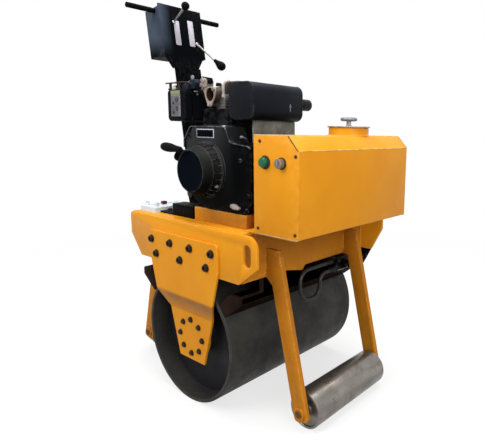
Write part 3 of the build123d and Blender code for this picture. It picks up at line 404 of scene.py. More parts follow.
def smooth_path(points, per_run):
    """Points along a Catmull-Rom curve through the given points."""
    points = [Vector(p) for p in points]
    ends = [2 * points[0] - points[1]] + points + [2 * points[-1] - points[-2]]
    out = []
    for a, b, c, d in zip(ends, ends[1:], ends[2:], ends[3:]):
        for k in range(per_run):
            t = k / per_run
            out.append(0.5 * ((2 * b) + (c - a) * t + (2 * a - 5 * b + 4 * c - d) * t ** 2
                              + (3 * b - a - 3 * c + d) * t ** 3))
    out.append(points[-1])
    return out


def outer_face(node, sign):
    """Y of the face of a node that looks away from the middle of the machine."""
    low, high = span(node)
    return sign * max(abs(low.y), abs(high.y))


def mirrored(profile):
    """A turned profile with its mirror image in front of it."""
    return [(radius, -y) for radius, y in reversed(profile)] + profile


class Piece:
    """A mesh under construction, in millimetres; place moves what is drawn."""

    def __init__(self, place=Matrix.Identity(4)):
        self.bm = bmesh.new()
        self.place = place

    def vertex(self, point):
        return self.bm.verts.new(self.place @ Vector(point))

    def skin(self, rings, caps=True):
        """Join rings of points by quads, and cap both ends."""
        rows = [[self.vertex(p) for p in ring] for ring in rings]
        count = len(rows[0])
        for a, b in zip(rows, rows[1:]):
            for i in range(count):
                j = (i + 1) % count
                self.bm.faces.new((a[i], a[j], b[j], b[i]))
        if caps:
            self.bm.faces.new(rows[0][::-1])
            self.bm.faces.new(rows[-1])
        return self

    def prism(self, points, low, high, axis="y"):
        """Closed outline extruded along an axis; its points are the other two coordinates."""
        order = {"x": lambda a, b, t: (t, a, b), "y": lambda a, b, t: (a, t, b),
                 "z": lambda a, b, t: (a, b, t)}[axis]
        return self.skin([[order(p[0], p[1], t) for p in points] for t in (low, high)])

    def plate(self, points, radii, low, high, axis="y", steps=6):
        """Prism whose outline has rounded corners."""
        return self.prism(rounded(points, radii, steps), low, high, axis)

    def box(self, low, high):
        return self.prism(rectangle(low, high), low[2], high[2], "z")

    def lathe(self, profile, centre, axis, steps=48, caps=True):
        """Profile of (radius, distance along the axis) turned about a line through centre."""
        axis = direction(axis)
        side = axis.orthogonal().normalized()
        return self.skin([circle(Vector(centre) + axis * along, side, axis.cross(side), radius,
                                 steps) for radius, along in profile], caps=caps)

    def ring(self, profile, centre, axis, steps=48):
        """Closed profile turned into a ring, with no caps."""
        return self.lathe(list(profile) + [profile[0]], centre, axis, steps, caps=False)

    def pipe(self, points, radius, steps=10, caps=True):
        """Round pipe through points, its frame carried along without twist."""
        points = [Vector(p) for p in points]
        tangents = [(points[min(i + 1, len(points) - 1)] - points[max(i - 1, 0)]).normalized()
                    for i in range(len(points))]
        side = tangents[0].orthogonal().normalized()
        rings = []
        for i, (point, along) in enumerate(zip(points, tangents)):
            if i:
                side = (tangents[i - 1].rotation_difference(along) @ side).normalized()
            size = radius[i] if isinstance(radius, (list, tuple)) else radius
            rings.append(circle(point, side, along.cross(side), size, steps))
        return self.skin(rings, caps=caps)

    def bend(self, points, radius, steps=8, per_run=6):
        """Round pipe along a smooth curve through points."""
        return self.pipe(smooth_path(points, per_run), radius, steps)

    def bolt(self, seat, axis, size, washer=True, turn=0.0):
        """Hex head on its washer, standing on seat along axis."""
        flats, height, washer_diameter, washer_thickness = size
        axis = direction(axis)
        seat = Vector(seat)
        if washer:
            radius = washer_diameter / 2
            self.lathe([(radius, -0.4), (radius, washer_thickness - 0.4),
                        (radius - 0.4, washer_thickness)], seat, axis, 24)
            seat = seat + axis * (washer_thickness - 0.1)
        side = axis.orthogonal().normalized()
        side.rotate(Matrix.Rotation(turn, 3, axis))
        corner = flats / math.sqrt(3)
        return self.skin([circle(seat + axis * along, side, axis.cross(side), corner * share, 6)
                          for share, along in ((1.0, -0.2), (1.0, height * 0.82), (0.9, height))])

    def clean(self):
        """Dissolve the seams between flat faces."""
        bmesh.ops.dissolve_limit(self.bm, angle_limit=math.radians(0.5), verts=self.bm.verts,
                                 edges=self.bm.edges)
        return self

    def take(self, node):
        """Start from a CAD node's mesh, joined and cleaned."""
        self.bm.from_mesh(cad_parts[node].data)
        bmesh.ops.scale(self.bm, vec=Vector((1, 1, 1)) / MM, verts=self.bm.verts)
        bmesh.ops.remove_doubles(self.bm, verts=self.bm.verts, dist=0.01)
        return self.clean()

    def shave(self, axis, place, sign):
        """Cut off what stands beyond a place along an axis, and close the cut."""
        everything = self.bm.verts[:] + self.bm.edges[:] + self.bm.faces[:]
        cut = bmesh.ops.bisect_plane(self.bm, geom=everything, dist=0.005, clear_outer=True,
                                     plane_co=AXES[axis] * place, plane_no=AXES[axis] * sign)
        rims = [g for g in cut["geom_cut"] if isinstance(g, bmesh.types.BMEdge)]
        bmesh.ops.holes_fill(self.bm, edges=[e for e in rims if e.is_valid and e.is_boundary],
                             sides=0)
        return self.clean()

    def done(self, name, material, replaces=(), bevel=0.0, segments=2, sharp=35.0, slot=None,
             body="frame"):
        """Make the object, in metres: its edges eased, its material on it, riding on its body."""
        bm = self.bm
        bmesh.ops.recalc_face_normals(bm, faces=bm.faces)
        bmesh.ops.scale(bm, vec=Vector((MM, MM, MM)), verts=bm.verts)
        mesh = bpy.data.meshes.new(name)
        bm.to_mesh(mesh)
        bm.free()
        piece = bpy.data.objects.new(name, mesh)
        bpy.context.scene.collection.objects.link(piece)
        if bevel:
            tool = piece.modifiers.new("bevel", "BEVEL")
            tool.width = bevel * MM
            tool.segments = segments
            tool.limit_method = "ANGLE"
            tool.angle_limit = math.radians(sharp)
            tool.harden_normals = False
            evaluated = piece.evaluated_get(bpy.context.evaluated_depsgraph_get())
            piece.data = bpy.data.meshes.new_from_object(evaluated)
            piece.data.name = name
            piece.modifiers.clear()
            bpy.data.meshes.remove(mesh)
        piece.data.materials.clear()
        piece.data.materials.append(material)
        for polygon in piece.data.polygons:
            polygon.use_smooth = True
            polygon.material_index = 0
        piece.data.set_sharp_from_angle(angle=math.radians(sharp))
        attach(piece, body)
        if replaces:
            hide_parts(*replaces)

    def stand_in(self, node, material, **finish):
        """Make the object that is seen instead of a CAD node."""
        self.done(f"{node}_skin", material, (node,), **finish)


def dress(node, material, bevel=1.5, segments=2, slot=None, body="frame"):
    """Stand a copy with eased edges in for a CAD node."""
    Piece().take(node).stand_in(
        node, material, bevel=bevel, segments=segments, slot=slot, body=body)


def at(*place):
    """A piece drawn from a place of its own."""
    return Piece(Matrix.Translation(place))


BEAD_STEP = 2.5                 # distance between the rings of a weld bead
BEAD_RIPPLE, BEAD_NOISE = 0.16, 0.07        # how far its radius swings, as shares


def weld(name, points, radius, paint=YELLOW):
    """Painted weld bead along a line, rippled as it was laid."""
    points = [Vector(p) for p in points]
    path, sizes = [], []
    for a, b in zip(points, points[1:]):
        count = max(2, int((b - a).length / BEAD_STEP))
        for k in range(count):
            path.append(a.lerp(b, k / count))
            sizes.append(radius * (1.0 + BEAD_RIPPLE * math.sin(len(sizes) * 1.3)
                                   + random.uniform(-BEAD_NOISE, BEAD_NOISE)))
    Piece().pipe(path + [points[-1]], sizes + [radius], 6).done(name, paint)


def bolts(name, seats, axis, size, material, washer=True, washer_material=None):
    """A group of hex bolts standing on their seats."""
    heads = Piece()
    for seat in seats:
        heads.bolt(seat, axis, size, washer and washer_material is None, random.uniform(0, 1))
    if washer_material is not None:
        radius, thickness = size[2] / 2, size[3]
        plates = Piece()
        for seat in seats:
            plates.lathe([(radius, -0.4), (radius, thickness - 0.5), (radius - 0.6, thickness)],
                         seat, axis, 28)
        plates.done(f"{name}_washers", washer_material, sharp=30)
    heads.done(name, material, sharp=25)


def screws(name, seats, axis, diameter, material, height=2.6):
    """Domed screw heads with a recess."""
    heads = Piece()
    radius = diameter / 2
    for seat in seats:
        heads.lathe([(radius, -0.3), (radius, height * 0.35), (radius * 0.82, height * 0.8),
                     (radius * 0.42, height), (radius * 0.34, height * 0.55),
                     (0.05, height * 0.5)], seat, axis, 20)
    heads.done(name, material, sharp=30)


# ---- Frame and legs -----------------------------------------------------
SCRAPER_END = 296.0             # a scraper's rubber reaches this far to each side
LEG_BEAD, DECK_BEAD = 2.6, 2.2  # radii of the weld beads
for node in ("side_plate_right", "side_plate_left", "deck_plate"):
    dress(node, YELLOW, 1.4, slot="yellow_paint")
# Crossmembers in the darker enamel: painted shade under the tank.
for node in ("front_crossmember", "rear_crossmember"):
    dress(node, SHADED_YELLOW, 1.4, slot="yellow_paint")
dress("belt_guard", BLACK, 1.0, slot="engine_black")
low, high = span("belt_guard")
screws("guard_screws", [(x, high.y, z) for x in (low.x + 16, (low.x + high.x) / 2)
                        for z in (low.z + 14, high.z - 14)], "y", M5_SCREW, BLACK_OXIDE)
# Legs in the darker enamel: painted shade under the tank.
for node in ("front_leg_right", "front_leg_left", "rear_leg_right", "rear_leg_left"):
    dress(node, SHADED_YELLOW, 1.8, slot="yellow_paint")
for node in ("front_scraper", "rear_scraper"):
    dress(node, SCRAPER_AND_SHADE, 2.0, slot="black_rubber")
    low, high = span(node)
    # A flap stretched out to SCRAPER_END: a rubber sheet that also paints the shade above the
    # drum's ends.
    shade_flap = Piece().take(node)
    for vertex in shade_flap.bm.verts:
        vertex.co.y += (SCRAPER_END + low.y) * (-1 if vertex.co.y < 0 else 1)
    shade_flap.done(f"{node}_flap", SCRAPER_AND_SHADE, bevel=1.5)

SIDE_LOW, SIDE_HIGH = span("side_plate_right")
CROSS_HIGH = span("front_crossmember")[1]
BACK_LOW, BACK_HIGH = span("rear_crossmember")
DECK_LOW, DECK_HIGH = span("deck_plate")
FRAME_TOP = DECK_HIGH.z
# Leg welds in the darker enamel: painted shade under the tank.
for tag, face in (("front", CROSS_HIGH.x), ("rear", BACK_LOW.x)):
    for side, _ in SIDES:
        low, high = span(f"{tag}_leg_{side}")
        for edge, y in (("a", low.y), ("b", high.y)):
            weld(f"weld_{tag}_leg_{side}_{edge}",
                 [(face, y, high.z - 4), (face, y, SIDE_LOW.z + 14)], LEG_BEAD, SHADED_YELLOW)
for side, sign in SIDES:
    inner = sign * min(abs(SIDE_LOW.y), abs(SIDE_HIGH.y))
    weld(f"weld_deck_{side}", [(DECK_LOW.x + 10, inner, FRAME_TOP),
                               (DECK_HIGH.x - 4, inner, FRAME_TOP)], DECK_BEAD)
    for tag, x, top in (("cross", CROSS_HIGH.x, CROSS_HIGH.z), ("back", BACK_LOW.x, BACK_HIGH.z)):
        weld(f"weld_{tag}_{side}", [(x, inner, SIDE_LOW.z + 8), (x, inner, top - 4)], LEG_BEAD)

# ---- Drum carriers, stubs and their bolts -------------------------------
DRUM_LOW, DRUM_HIGH = span("drum_shell")
DRUM_Z = (DRUM_LOW.z + DRUM_HIGH.z) / 2
DRUM_RADIUS = (DRUM_HIGH.x - DRUM_LOW.x) / 2
CARRIER_BOLT_OFFSET = -7.4                  # middle of both bolt rows along X
CARRIER_ROWS = ((4, 311.2, 308.4), (3, 261.6, 261.9))   # count, length, height above the axis
CARRIER_HEAD = (10.5, 9.0, 13.5, 1.6)       # radius, height, washer's radius and thickness
HUB_BOLTS = (8, 57.5)                       # count, circle radius
CARRIER_JOGGLE = 27.0                       # carrier's face to the hub bolts' seat
radius, height, washer, thickness = CARRIER_HEAD
carrier_places = [(CARRIER_BOLT_OFFSET + length * (k / (count - 1) - 0.5), DRUM_Z + rise)
                  for count, length, rise in CARRIER_ROWS for k in range(count)]
for side, sign in SIDES:
    node = f"drum_carrier_{side}"
    face = outer_face(node, sign) - sign * height
    Piece().take(node).shave("y", face, sign).stand_in(
        node, CARRIER_FOLD_SHADED, bevel=1.2, segments=3, sharp=12.0, slot="yellow_paint")
    dress(f"drum_stub_{side}", YELLOW, 1.2, slot="yellow_paint")
    heads, washers = Piece(), Piece()
    for x, z in carrier_places:
        seat = (x, face, z)
        washers.lathe([(washer, -0.4), (washer, thickness - 0.5), (washer - 0.7, thickness)],
                      seat, (0, sign, 0), 32)
        heads.lathe([(radius, 0.8), (radius, height - 1.4), (radius - 0.5, height - 0.5),
                     (radius - 1.6, height), (radius * 0.52, height), (radius * 0.5, height - 4.6),
                     (0.05, height - 4.8)], seat, (0, sign, 0), 32)
    washers.done(f"carrier_washers_{side}", BROWN_OXIDE, sharp=30)
    heads.done(f"carrier_bolts_{side}", BLACK_OXIDE, sharp=30)
    hub = Vector((0, face - sign * CARRIER_JOGGLE, DRUM_Z))
    bolts(f"hub_bolts_{side}", circle(hub, AXES["x"], AXES["z"], HUB_BOLTS[1], HUB_BOLTS[0]),
          (0, sign, 0), M10, BLACK_OXIDE, washer_material=BROWN_OXIDE)

# ---- Drum ---------------------------------------------------------------
DRUM_WALL = 12.0
DRUM_EDGE = 3.5                 # radius of the shell's rounded rims
HEAD_RECESS = 62.0              # drum's end to the weld round its head
BEAD_STEPS = 150
half = (DRUM_HIGH.y - DRUM_LOW.y) / 2
bore = DRUM_RADIUS - DRUM_WALL
arc = [(DRUM_RADIUS - DRUM_EDGE * (1 - math.cos(t)), half - DRUM_EDGE * (1 - math.sin(t)))
       for t in (math.radians(a) for a in (0, 22, 45, 68, 90))]
Piece().ring(mirrored(arc + [(bore + 1.0, half), (bore, half - 1.0)]), (0, 0, DRUM_Z), "y",
             160).done(
    "drum_skin", DRUM_STEEL, ("drum_shell",), sharp=50, slot="drum_steel", body="drum")
for side, sign in SIDES:
    dress(f"drum_head_{side}", HEAD_STEEL, 2.0, 3, slot="drum_steel", body="drum")
    middle = Vector((0, sign * (half - HEAD_RECESS), DRUM_Z))
    bead = circle(middle, AXES["x"], AXES["z"], bore, BEAD_STEPS)
    Piece().pipe(bead + bead[:1], [4.0 + 0.5 * math.sin(k * 1.9) for k in range(BEAD_STEPS + 1)],
                 6, caps=False).done(f"drum_head_weld_{side}", HEAD_STEEL, body="drum")

# ---- Support rollers ----------------------------------------------------
ROLLER_WALL = 8.0
ROLLER_BORE = 12.05             # radius that turns on the axle
for tag in ("front", "rear"):
    low, high = span(f"{tag}_roller")
    x, z = (low.x + high.x) / 2, (low.z + high.z) / 2
    radius, end = (high.x - low.x) / 2, high.y
    inner, bush = radius - ROLLER_WALL, ROLLER_BORE
    outer = [(radius, end - 2.5), (radius - 0.8, end - 0.8), (radius - 2.5, end),
             (inner + 1.0, end), (inner, end - 1.0), (inner, end - 7.0), (inner - 2.0, end - 8.0),
             (bush + 9.0, end - 8.0), (bush + 7.5, end - 3.0), (bush + 1.0, end - 2.0),
             (bush, end - 3.0)]
    Piece().ring(outer + [(r, -y) for r, y in reversed(outer)], (x, 0, z), "y", 96).stand_in(
        f"{tag}_roller", ROLLER_STEEL, sharp=30, slot="roller_steel", body=f"{tag}_roller")
    low, high = span(f"{tag}_axle")
    shaft, end = (high.x - low.x) / 2, high.y
    tip = [(shaft, end - 1.5), (shaft - 1.5, end), (shaft * 0.5, end), (shaft * 0.4, end - 2),
           (shaft * 0.35, end), (0.05, end)]
    Piece().lathe(mirrored(tip), (x, 0, z), "y", 40).stand_in(
        f"{tag}_axle", AXLE_STEEL, sharp=30, slot="bright_steel")
    collars = Piece()
    for side, sign in SIDES:
        collars.ring([(shaft + 0.2, -0.5), (shaft + 7.0, -0.5), (shaft + 7.0, 4.0),
                      (shaft + 6.0, 5.0), (shaft + 0.2, 5.0)],
                     (x, outer_face(f"{tag}_leg_{side}", sign), z), (0, sign, 0), 40)
    # Collars in the darker enamel: painted shade, as on the legs.
    collars.done(f"{tag}_axle_collars", SHADED_YELLOW, sharp=30)

# ---- Tank housing -------------------------------------------------------
dress("tank_housing", YELLOW, 3.0, 3, slot="yellow_paint")
for side, _ in SIDES:
    dress(f"tank_panel_{side}", YELLOW, 1.0, slot="yellow_paint")
dress("tank_shelf", YELLOW, 1.2, slot="yellow_paint")
TANK_LOW, TANK_HIGH = span("tank_housing")
TANK_SLOPE = (36.0, 38.0)       # the slope's length along X and its height
TANK_LID_END = TANK_HIGH.x - 38.0
PANEL_FACE = -outer_face("tank_panel_right", -1)
PANEL_SCREWS = ((25.0, 254.0), (156.0, 218.0), (16.0, 15.0), (155.0, 14.0))
for side, sign in SIDES:
    screws(f"panel_screws_{side}", [(TANK_LOW.x + x, sign * PANEL_FACE, TANK_LOW.z + z)
                                    for x, z in PANEL_SCREWS], (0, sign, 0), M5_SCREW,
           BROWN_OXIDE)
# Pale lips along the lid's sides: sealant with a painted highlight.
lip = Piece()
for sign in (-1, 1):
    near, far = sorted((sign * (PANEL_FACE - 14), sign * (PANEL_FACE - 0.2)))
    lip.box((TANK_LOW.x, near, TANK_HIGH.z - 0.5), (TANK_LID_END, far, TANK_HIGH.z + 2.2))
lip.done("tank_lid_lip", SEALANT_AND_HIGHLIGHT, bevel=0.8)
# The lid in the pale yellow that paints the sheen on the tank's top.
Piece().box((TANK_LOW.x, 16 - PANEL_FACE, TANK_HIGH.z - 0.5),
            (TANK_LID_END, PANEL_FACE - 16, TANK_HIGH.z + 1.4)).done("tank_lid", SHEEN_YELLOW, bevel=0.8)
# Pale line along the housing's front crease, a painted highlight with wear, and the dark joint
# down the panels' slopes.
Piece().pipe([(TANK_HIGH.x - 1.2, y, TANK_HIGH.z - TANK_SLOPE[1] + 0.3)
              for y in (6 - PANEL_FACE, PANEL_FACE - 6)], 1.5, 8).done("tank_crease_highlight", SHEEN_YELLOW)
for side, sign in SIDES:
    y = sign * (PANEL_FACE - 0.4)
    Piece().pipe([(TANK_HIGH.x - TANK_SLOPE[0], y, TANK_HIGH.z - 0.6),
                  (TANK_HIGH.x - 0.9, y, TANK_HIGH.z - TANK_SLOPE[1])], 1.3, 8).done(
        f"tank_joint_{side}", BROWN_OXIDE)
# Pale strips along the housing's low edges and rear top: sealant and painted highlight.
seal = Piece()
for sign in (-1, 1):
    near, far = sorted((sign * (PANEL_FACE - 3.0), sign * PANEL_FACE))
    seal.box((TANK_LOW.x + 2, near, TANK_LOW.z - 1.6), (TANK_HIGH.x - 3, far, TANK_LOW.z + 1.8))
seal.box((TANK_LOW.x - 1.0, 4 - PANEL_FACE, TANK_HIGH.z - 2.4),
         (TANK_LOW.x + 3.0, PANEL_FACE - 4, TANK_HIGH.z + 1.6))
seal.done("tank_seal_and_highlight", SEALANT_AND_HIGHLIGHT, bevel=0.6)

low, high = span("filler_neck")
neck = ((low.x + high.x) / 2, (low.y + high.y) / 2)
radius, height = (high.x - low.x) / 2, high.z - low.z
Piece().lathe([(radius + 2.5, -0.4), (radius + 2.5, 1.2), (radius + 0.6, 3.0), (radius, 5.0),
               (radius, height - 5), (radius - 0.3, height - 2), (radius - 2.5, height)],
              (*neck, low.z), "z", 72).stand_in("filler_neck", YELLOW, slot="yellow_paint")
low, high = span("filler_lid")
radius, tall, base = (high.x - low.x) / 2, high.z - low.z, (*neck, low.z)
Piece().lathe([(radius - 6, -0.2), (radius - 0.4, 0.0), (radius, 1.0), (radius, 3.2),
               (radius - 1.0, 4.4), (radius - 8, 4.8), (radius - 12, 4.0), (12.0, 4.0)], base,
              "z", 72).stand_in("filler_lid", PALE_CAST)
Piece().lathe([(9.5, 3.8), (9.5, 7.0), (7.5, 8.0), (7.5, tall - 12), (9.0, tall - 11)], base,
              "z", 24).done("filler_stem", SATIN_STEEL, sharp=30)
Piece().lathe([(8.0, tall - 12.6), (20.0, tall - 12.8), (25.4, tall - 11.2), (27.0, tall - 8.4),
               (27.0, tall - 5.6), (25.6, tall - 2.8), (21.0, tall - 0.9), (12.0, tall),
               (0.05, tall)], base, "z", 72).done(
    "filler_knob", INSERT_STEEL, sharp=60, slot="bright_steel")


def control(node, material, bezel, foot, cap, sharp, slot):
    """A round control in its bezel; cap's depths are measured from the control's front."""
    low, high = span(node)
    seat = ((low.x + high.x) / 2, high.y, (low.z + high.z) / 2)
    Piece().lathe(bezel, seat, OUT, 40).done(f"{node}_bezel", BROWN_OXIDE, sharp=30)
    Piece().lathe([foot] + [(radius, high.y - low.y + depth) for radius, depth in cap], seat, OUT,
                  40).stand_in(node, material, sharp=sharp, slot=slot)


control("start_button", GREEN,
        [(18.5, -0.3), (18.5, 2.0), (17.5, 3.2), (14.0, 3.4), (13.6, 2.6)], (13.8, 1.0),
        [(13.8, -3), (13.0, -1.2), (10.5, -0.2), (5.0, 0), (0.05, 0)], 45, "green_plastic")
control("key_switch", SWITCH_STEEL,
        [(16.0, -0.3), (16.0, 2.4), (14.8, 3.4), (13.0, 3.6), (13.0, 2.6)], (13.0, 2.0),
        [(12.8, -4.5), (11.6, -3.2), (3.0, -3.4), (0.05, -3.4)], 30, "bright_steel")
low, high = span("key_switch")
x, z = (low.x + high.x) / 2, (low.z + high.z) / 2
Piece().box((x - 2.2, low.y, z - 8.5), (x + 2.2, low.y + 5.0, z + 8.5)).done(
    "key_switch_blade", INSERT_STEEL, bevel=0.8)

# ---- Engine -------------------------------------------------------------
HOOD_RISE = 44.0                # shroud's hood above the case
RECOIL_FRONT = 66.0             # radius of the recoil starter's front
GUIDE_ANGLE = 152.0             # rope guide's direction round the crank
GUIDE_DEPTH = 42.0              # shroud's face to the guide's axis
HEAD_CASTING = 70.0             # height of the head under its rocker cover
COVER_RISE = 92.0               # gear cover's hub above the case's foot
BED_LOW, BED_HIGH = span("engine_bed")
CASE_LOW, CASE_HIGH = span("crankcase")
HOOD_LOW, HOOD_HIGH = span("fan_shroud")
RECOIL_LOW, RECOIL_HIGH = span("recoil_starter")
CRANK = Vector((RECOIL_HIGH.x - (RECOIL_HIGH.z - RECOIL_LOW.z) / 2, 0,
                (RECOIL_LOW.z + RECOIL_HIGH.z) / 2))
FACE = HOOD_LOW.y               # outer face of the fan shroud

dress("engine_bed", BED_SHADOWED_YELLOW, 2.5, 3, slot="yellow_paint")
screws("bed_bolts", [(x, y, BED_HIGH.z) for x in (BED_LOW.x + 16, BED_HIGH.x - 16)
                     for y in (BED_LOW.y + 22, BED_HIGH.y - 22)], "z", 14.0, BLACK_OXIDE, 5.0)
dress("crankcase", BLACK, 4.0, 3, slot="engine_black")
hub_x, hub_z = (CASE_LOW.x + CASE_HIGH.x) / 2, CASE_LOW.z + COVER_RISE
outline = [(CASE_LOW.x + 34, CASE_LOW.z + 26), (CASE_HIGH.x - 34, CASE_LOW.z + 26),
           (CASE_HIGH.x - 26, hub_z), (CASE_HIGH.x - 64, CASE_HIGH.z - 34),
           (CASE_LOW.x + 52, CASE_HIGH.z - 34), (CASE_LOW.x + 26, hub_z)]
Piece().plate(outline, 18, CASE_HIGH.y - 1, CASE_HIGH.y + 7).lathe(
    [(44, 5), (44, 13), (40, 17), (17, 17), (15, 22), (0.05, 22)],
    (hub_x, CASE_HIGH.y, hub_z), "y", 64).done("gear_cover", BLACK, bevel=1.5, sharp=30)
bolts("gear_cover_bolts",
      [(x + (11 if x < hub_x else -11), CASE_HIGH.y + 7,
        z + (11 if z < hub_z else -11 if z > hub_z else 0)) for x, z in outline],
      "y", M6, BLACK_OXIDE)
dress("fan_shroud", HOOD_BLACK, 3.5, 3, slot="engine_black")

# Pressed edge of the hood in a lighter black, worn paint and a painted highlight, its bolts and
# its blank plate.
RIM_STEPS = 6
HOOD_BOLTS = ((-86, 104), (152, 36), (184, -64), (178, -108), (-98, 36))   # from the crank
PLATE_PLACE = (57.0, 9.5)       # plate's corner from the case's rear top
PLATE_SIZE = (84.0, 27.0)
hood_top = CASE_HIGH.z + HOOD_RISE
rim = [(HOOD_LOW.x + 1, CASE_HIGH.z - 22), (HOOD_LOW.x + 1, CASE_HIGH.z),
       (HOOD_LOW.x + 34, hood_top - 3), (HOOD_LOW.x + 44, hood_top - 0.5),
       (CRANK.x + 76, hood_top - 0.5), (CRANK.x + 85, hood_top - 3),
       (CRANK.x + 105, CASE_HIGH.z + 1), (CRANK.x + 112, CASE_HIGH.z - 3),
       (HOOD_HIGH.x - 14, CASE_HIGH.z - 11), (HOOD_HIGH.x - 2, CASE_HIGH.z - 18)]
Piece().pipe([(xa + (xb - xa) * k / RIM_STEPS, FACE - 0.3, za + (zb - za) * k / RIM_STEPS)
              for (xa, za), (xb, zb) in zip(rim, rim[1:]) for k in range(RIM_STEPS)],
             1.7, 8).done("shroud_rim", RIM_WEAR_AND_HIGHLIGHT)
bolts("shroud_bolts", [(CRANK.x + x, FACE, CRANK.z + z) for x, z in HOOD_BOLTS], OUT, M6, BLACK)
bolts("shroud_corner_bolt", [(CRANK.x + 74, FACE + 5, hood_top - 1)], "z", M6, BRIGHT_STEEL,
      washer=False)
for name, material, (border_x, border_z), proud, sunk, soft in (
        ("blank_plate_frame", STRIP, (0.0, 0.0), 1.4, -0.2, 0.5),
        ("blank_plate", NAVY, (3.4, 2.9), 2.0, 1.0, 0.3)):
    at(CASE_LOW.x + PLATE_PLACE[0], FACE, CASE_HIGH.z + PLATE_PLACE[1]).box(
        (border_x, -proud, border_z),
        (PLATE_SIZE[0] - border_x, -sunk, PLATE_SIZE[1] - border_z)).done(
        name, material, bevel=soft)

# Recoil starter: stepped cowl with louvres, a dark front, edge rings and louvre crests with
# painted highlights at the top, the rope guide and the pull grip.
LOUVRES = 24
LOUVRE_REACH = (11.0, 33.0)     # depths in front of the shroud that they run between
LOUVRE_LEAN = 3.2
front = FACE - RECOIL_LOW.y
big, small = (RECOIL_HIGH.z - RECOIL_LOW.z) / 2, RECOIL_FRONT
centre = Vector((CRANK.x, FACE, CRANK.z))


def radial(angle):
    """Direction at an angle round the crank, in degrees."""
    return Vector((math.cos(math.radians(angle)), 0, math.sin(math.radians(angle))))


def cone_radius(depth):
    """Radius of the starter's cone at a depth in front of the shroud."""
    return big - (big - small) / front * depth


def on_cone(angle, depth, inset):
    """Point under the cone's surface."""
    return centre + radial(angle) * (cone_radius(depth) - inset) + OUT * depth


Piece().lathe([(big, -0.5), (big, 0.0), (cone_radius(8), 8.0), (cone_radius(8) - 4.5, 9.5),
               (cone_radius(34) - 3.0, 34.0), (cone_radius(36) - 1.0, 36.5),
               (cone_radius(54), 54.0), (cone_radius(front) - 0.4, front - 3.0),
               (small - 2.6, front - 0.4), (small - 6.0, front)], centre, OUT, 96,
              caps=False).done(
    "recoil_cowl", COWL_BLACK, ("recoil_starter",), slot="engine_black")
Piece().lathe([(small - 5.0, front - 1.6), (small - 9.0, front - 1.2), (small - 13.0, front - 3.4),
               (small - 17.0, front - 4.4), (26.0, front - 3.6), (24.0, front - 3.0),
               (8.0, front - 2.8), (0.05, front - 2.8)], centre, OUT, 96).done(
    "recoil_front", NAVY)
Piece().ring([(small - 6.2, front - 1.4), (small - 6.2, front - 0.2), (small - 4.6, front + 0.2),
              (small - 3.6, front - 0.6), (small - 3.6, front - 1.4)], centre, OUT, 96).done(
    "recoil_front_edge_highlight", RING_HIGHLIGHT, sharp=40)
edges = Piece()
for profile in ([(big - 1.2, -0.4), (big + 1.0, 1.2), (big + 0.6, 3.4), (big - 1.6, 3.8)],
                [(cone_radius(8) - 1.4, 7.0), (cone_radius(8) - 0.3, 8.2),
                 (cone_radius(8) - 2.0, 9.2)],
                [(cone_radius(36) - 2.4, 34.4), (cone_radius(36) - 0.2, 36.4),
                 (cone_radius(36) - 1.6, 37.6)]):
    edges.ring(profile, centre, OUT, 96)
edges.done("recoil_edge_highlights", RING_HIGHLIGHT, sharp=40)
for name, near, far, material in (("recoil_louvres", -0.62, 0.62, BLACK),
                                  ("recoil_louvre_crest_highlights", 0.3, 0.72, RING_HIGHLIGHT)):
    louvres = Piece()
    for k in range(LOUVRES):
        angle = 360.0 / LOUVRES * k
        across = radial(angle).cross(OUT)
        rings = []
        for depth in LOUVRE_REACH:
            root, crest = on_cone(angle, depth, 5.0), on_cone(angle, depth, 0.4)
            crest = crest + across * LOUVRE_LEAN
            rings.append([root + across * near * 2.4, root + across * far * 2.4,
                          crest + across * far, crest + across * near])
        louvres.skin(rings)
    louvres.done(name, material, sharp=40)
guide_root, guide_way = centre + OUT * GUIDE_DEPTH, radial(GUIDE_ANGLE)
Piece().lathe([(13.5, 56.0), (14.0, 70.0), (16.5, 80.0), (19.6, 88.0), (20.0, 90.5), (19.2, 92.0),
               (16.0, 92.0), (11.0, 84.0), (0.05, 80.0)], guide_root, guide_way, 40).done(
    "rope_guide", BLACK, sharp=40)
bolts("recoil_bolts", [on_cone(angle, 6.0, 2.0) for angle in (66, 186)], OUT, M6, BLACK_OXIDE)
bolts("recoil_low_bolt", [on_cone(-34, 18.0, 4.0)], (0.72, -0.5, -0.48), M6, INSERT_STEEL,
      washer=False)
low, high = span("recoil_grip")
y, thick = (low.y + high.y) / 2, (high.y - low.y) / 2
right_end = Vector((high.x - 1.4, y, low.z + thick))
left_end = Vector((low.x + 1.4, y, high.z - thick))
swell = [(0.0, 5.0), (0.015, 7.6), (0.05, 9.0), (0.14, 9.6), (0.26, 10.0), (0.36, 11.0),
         (0.47, 12.6), (0.58, 13.7), (0.72, 13.9), (0.84, 13.2), (0.92, 11.0), (0.97, 8.0),
         (0.992, 4.4), (1.0, 0.6)]                      # share of the length, radius
Piece().pipe([right_end + (left_end - right_end) * share for share, _ in swell],
             [radius for _, radius in swell], 28).stand_in(
    "recoil_grip", RUBBER, slot="black_plastic")
Piece().bend([right_end, right_end + Vector((12, 4, -2)), right_end + Vector((10, 22, -8)),
              guide_root + guide_way * 80], 2.4).done("recoil_rope", RUBBER)

# Cylinder: finned barrel, head and rocker cover.
FIN_PITCH, FIN_THICKNESS = 9.0, 3.4
dress("cylinder_barrel", DARK_CAST, 0.8, slot="cast_alloy")
BARREL_LOW, BARREL_HIGH = span("cylinder_barrel")
HEAD_LOW, HEAD_HIGH = span("cylinder_head")
head_front, head_left = HEAD_HIGH.x, HEAD_HIGH.y
head_rear, head_right = 2 * CRANK.x - head_front, BARREL_LOW.y + BARREL_HIGH.y - head_left
seat = HEAD_LOW.z + HEAD_CASTING


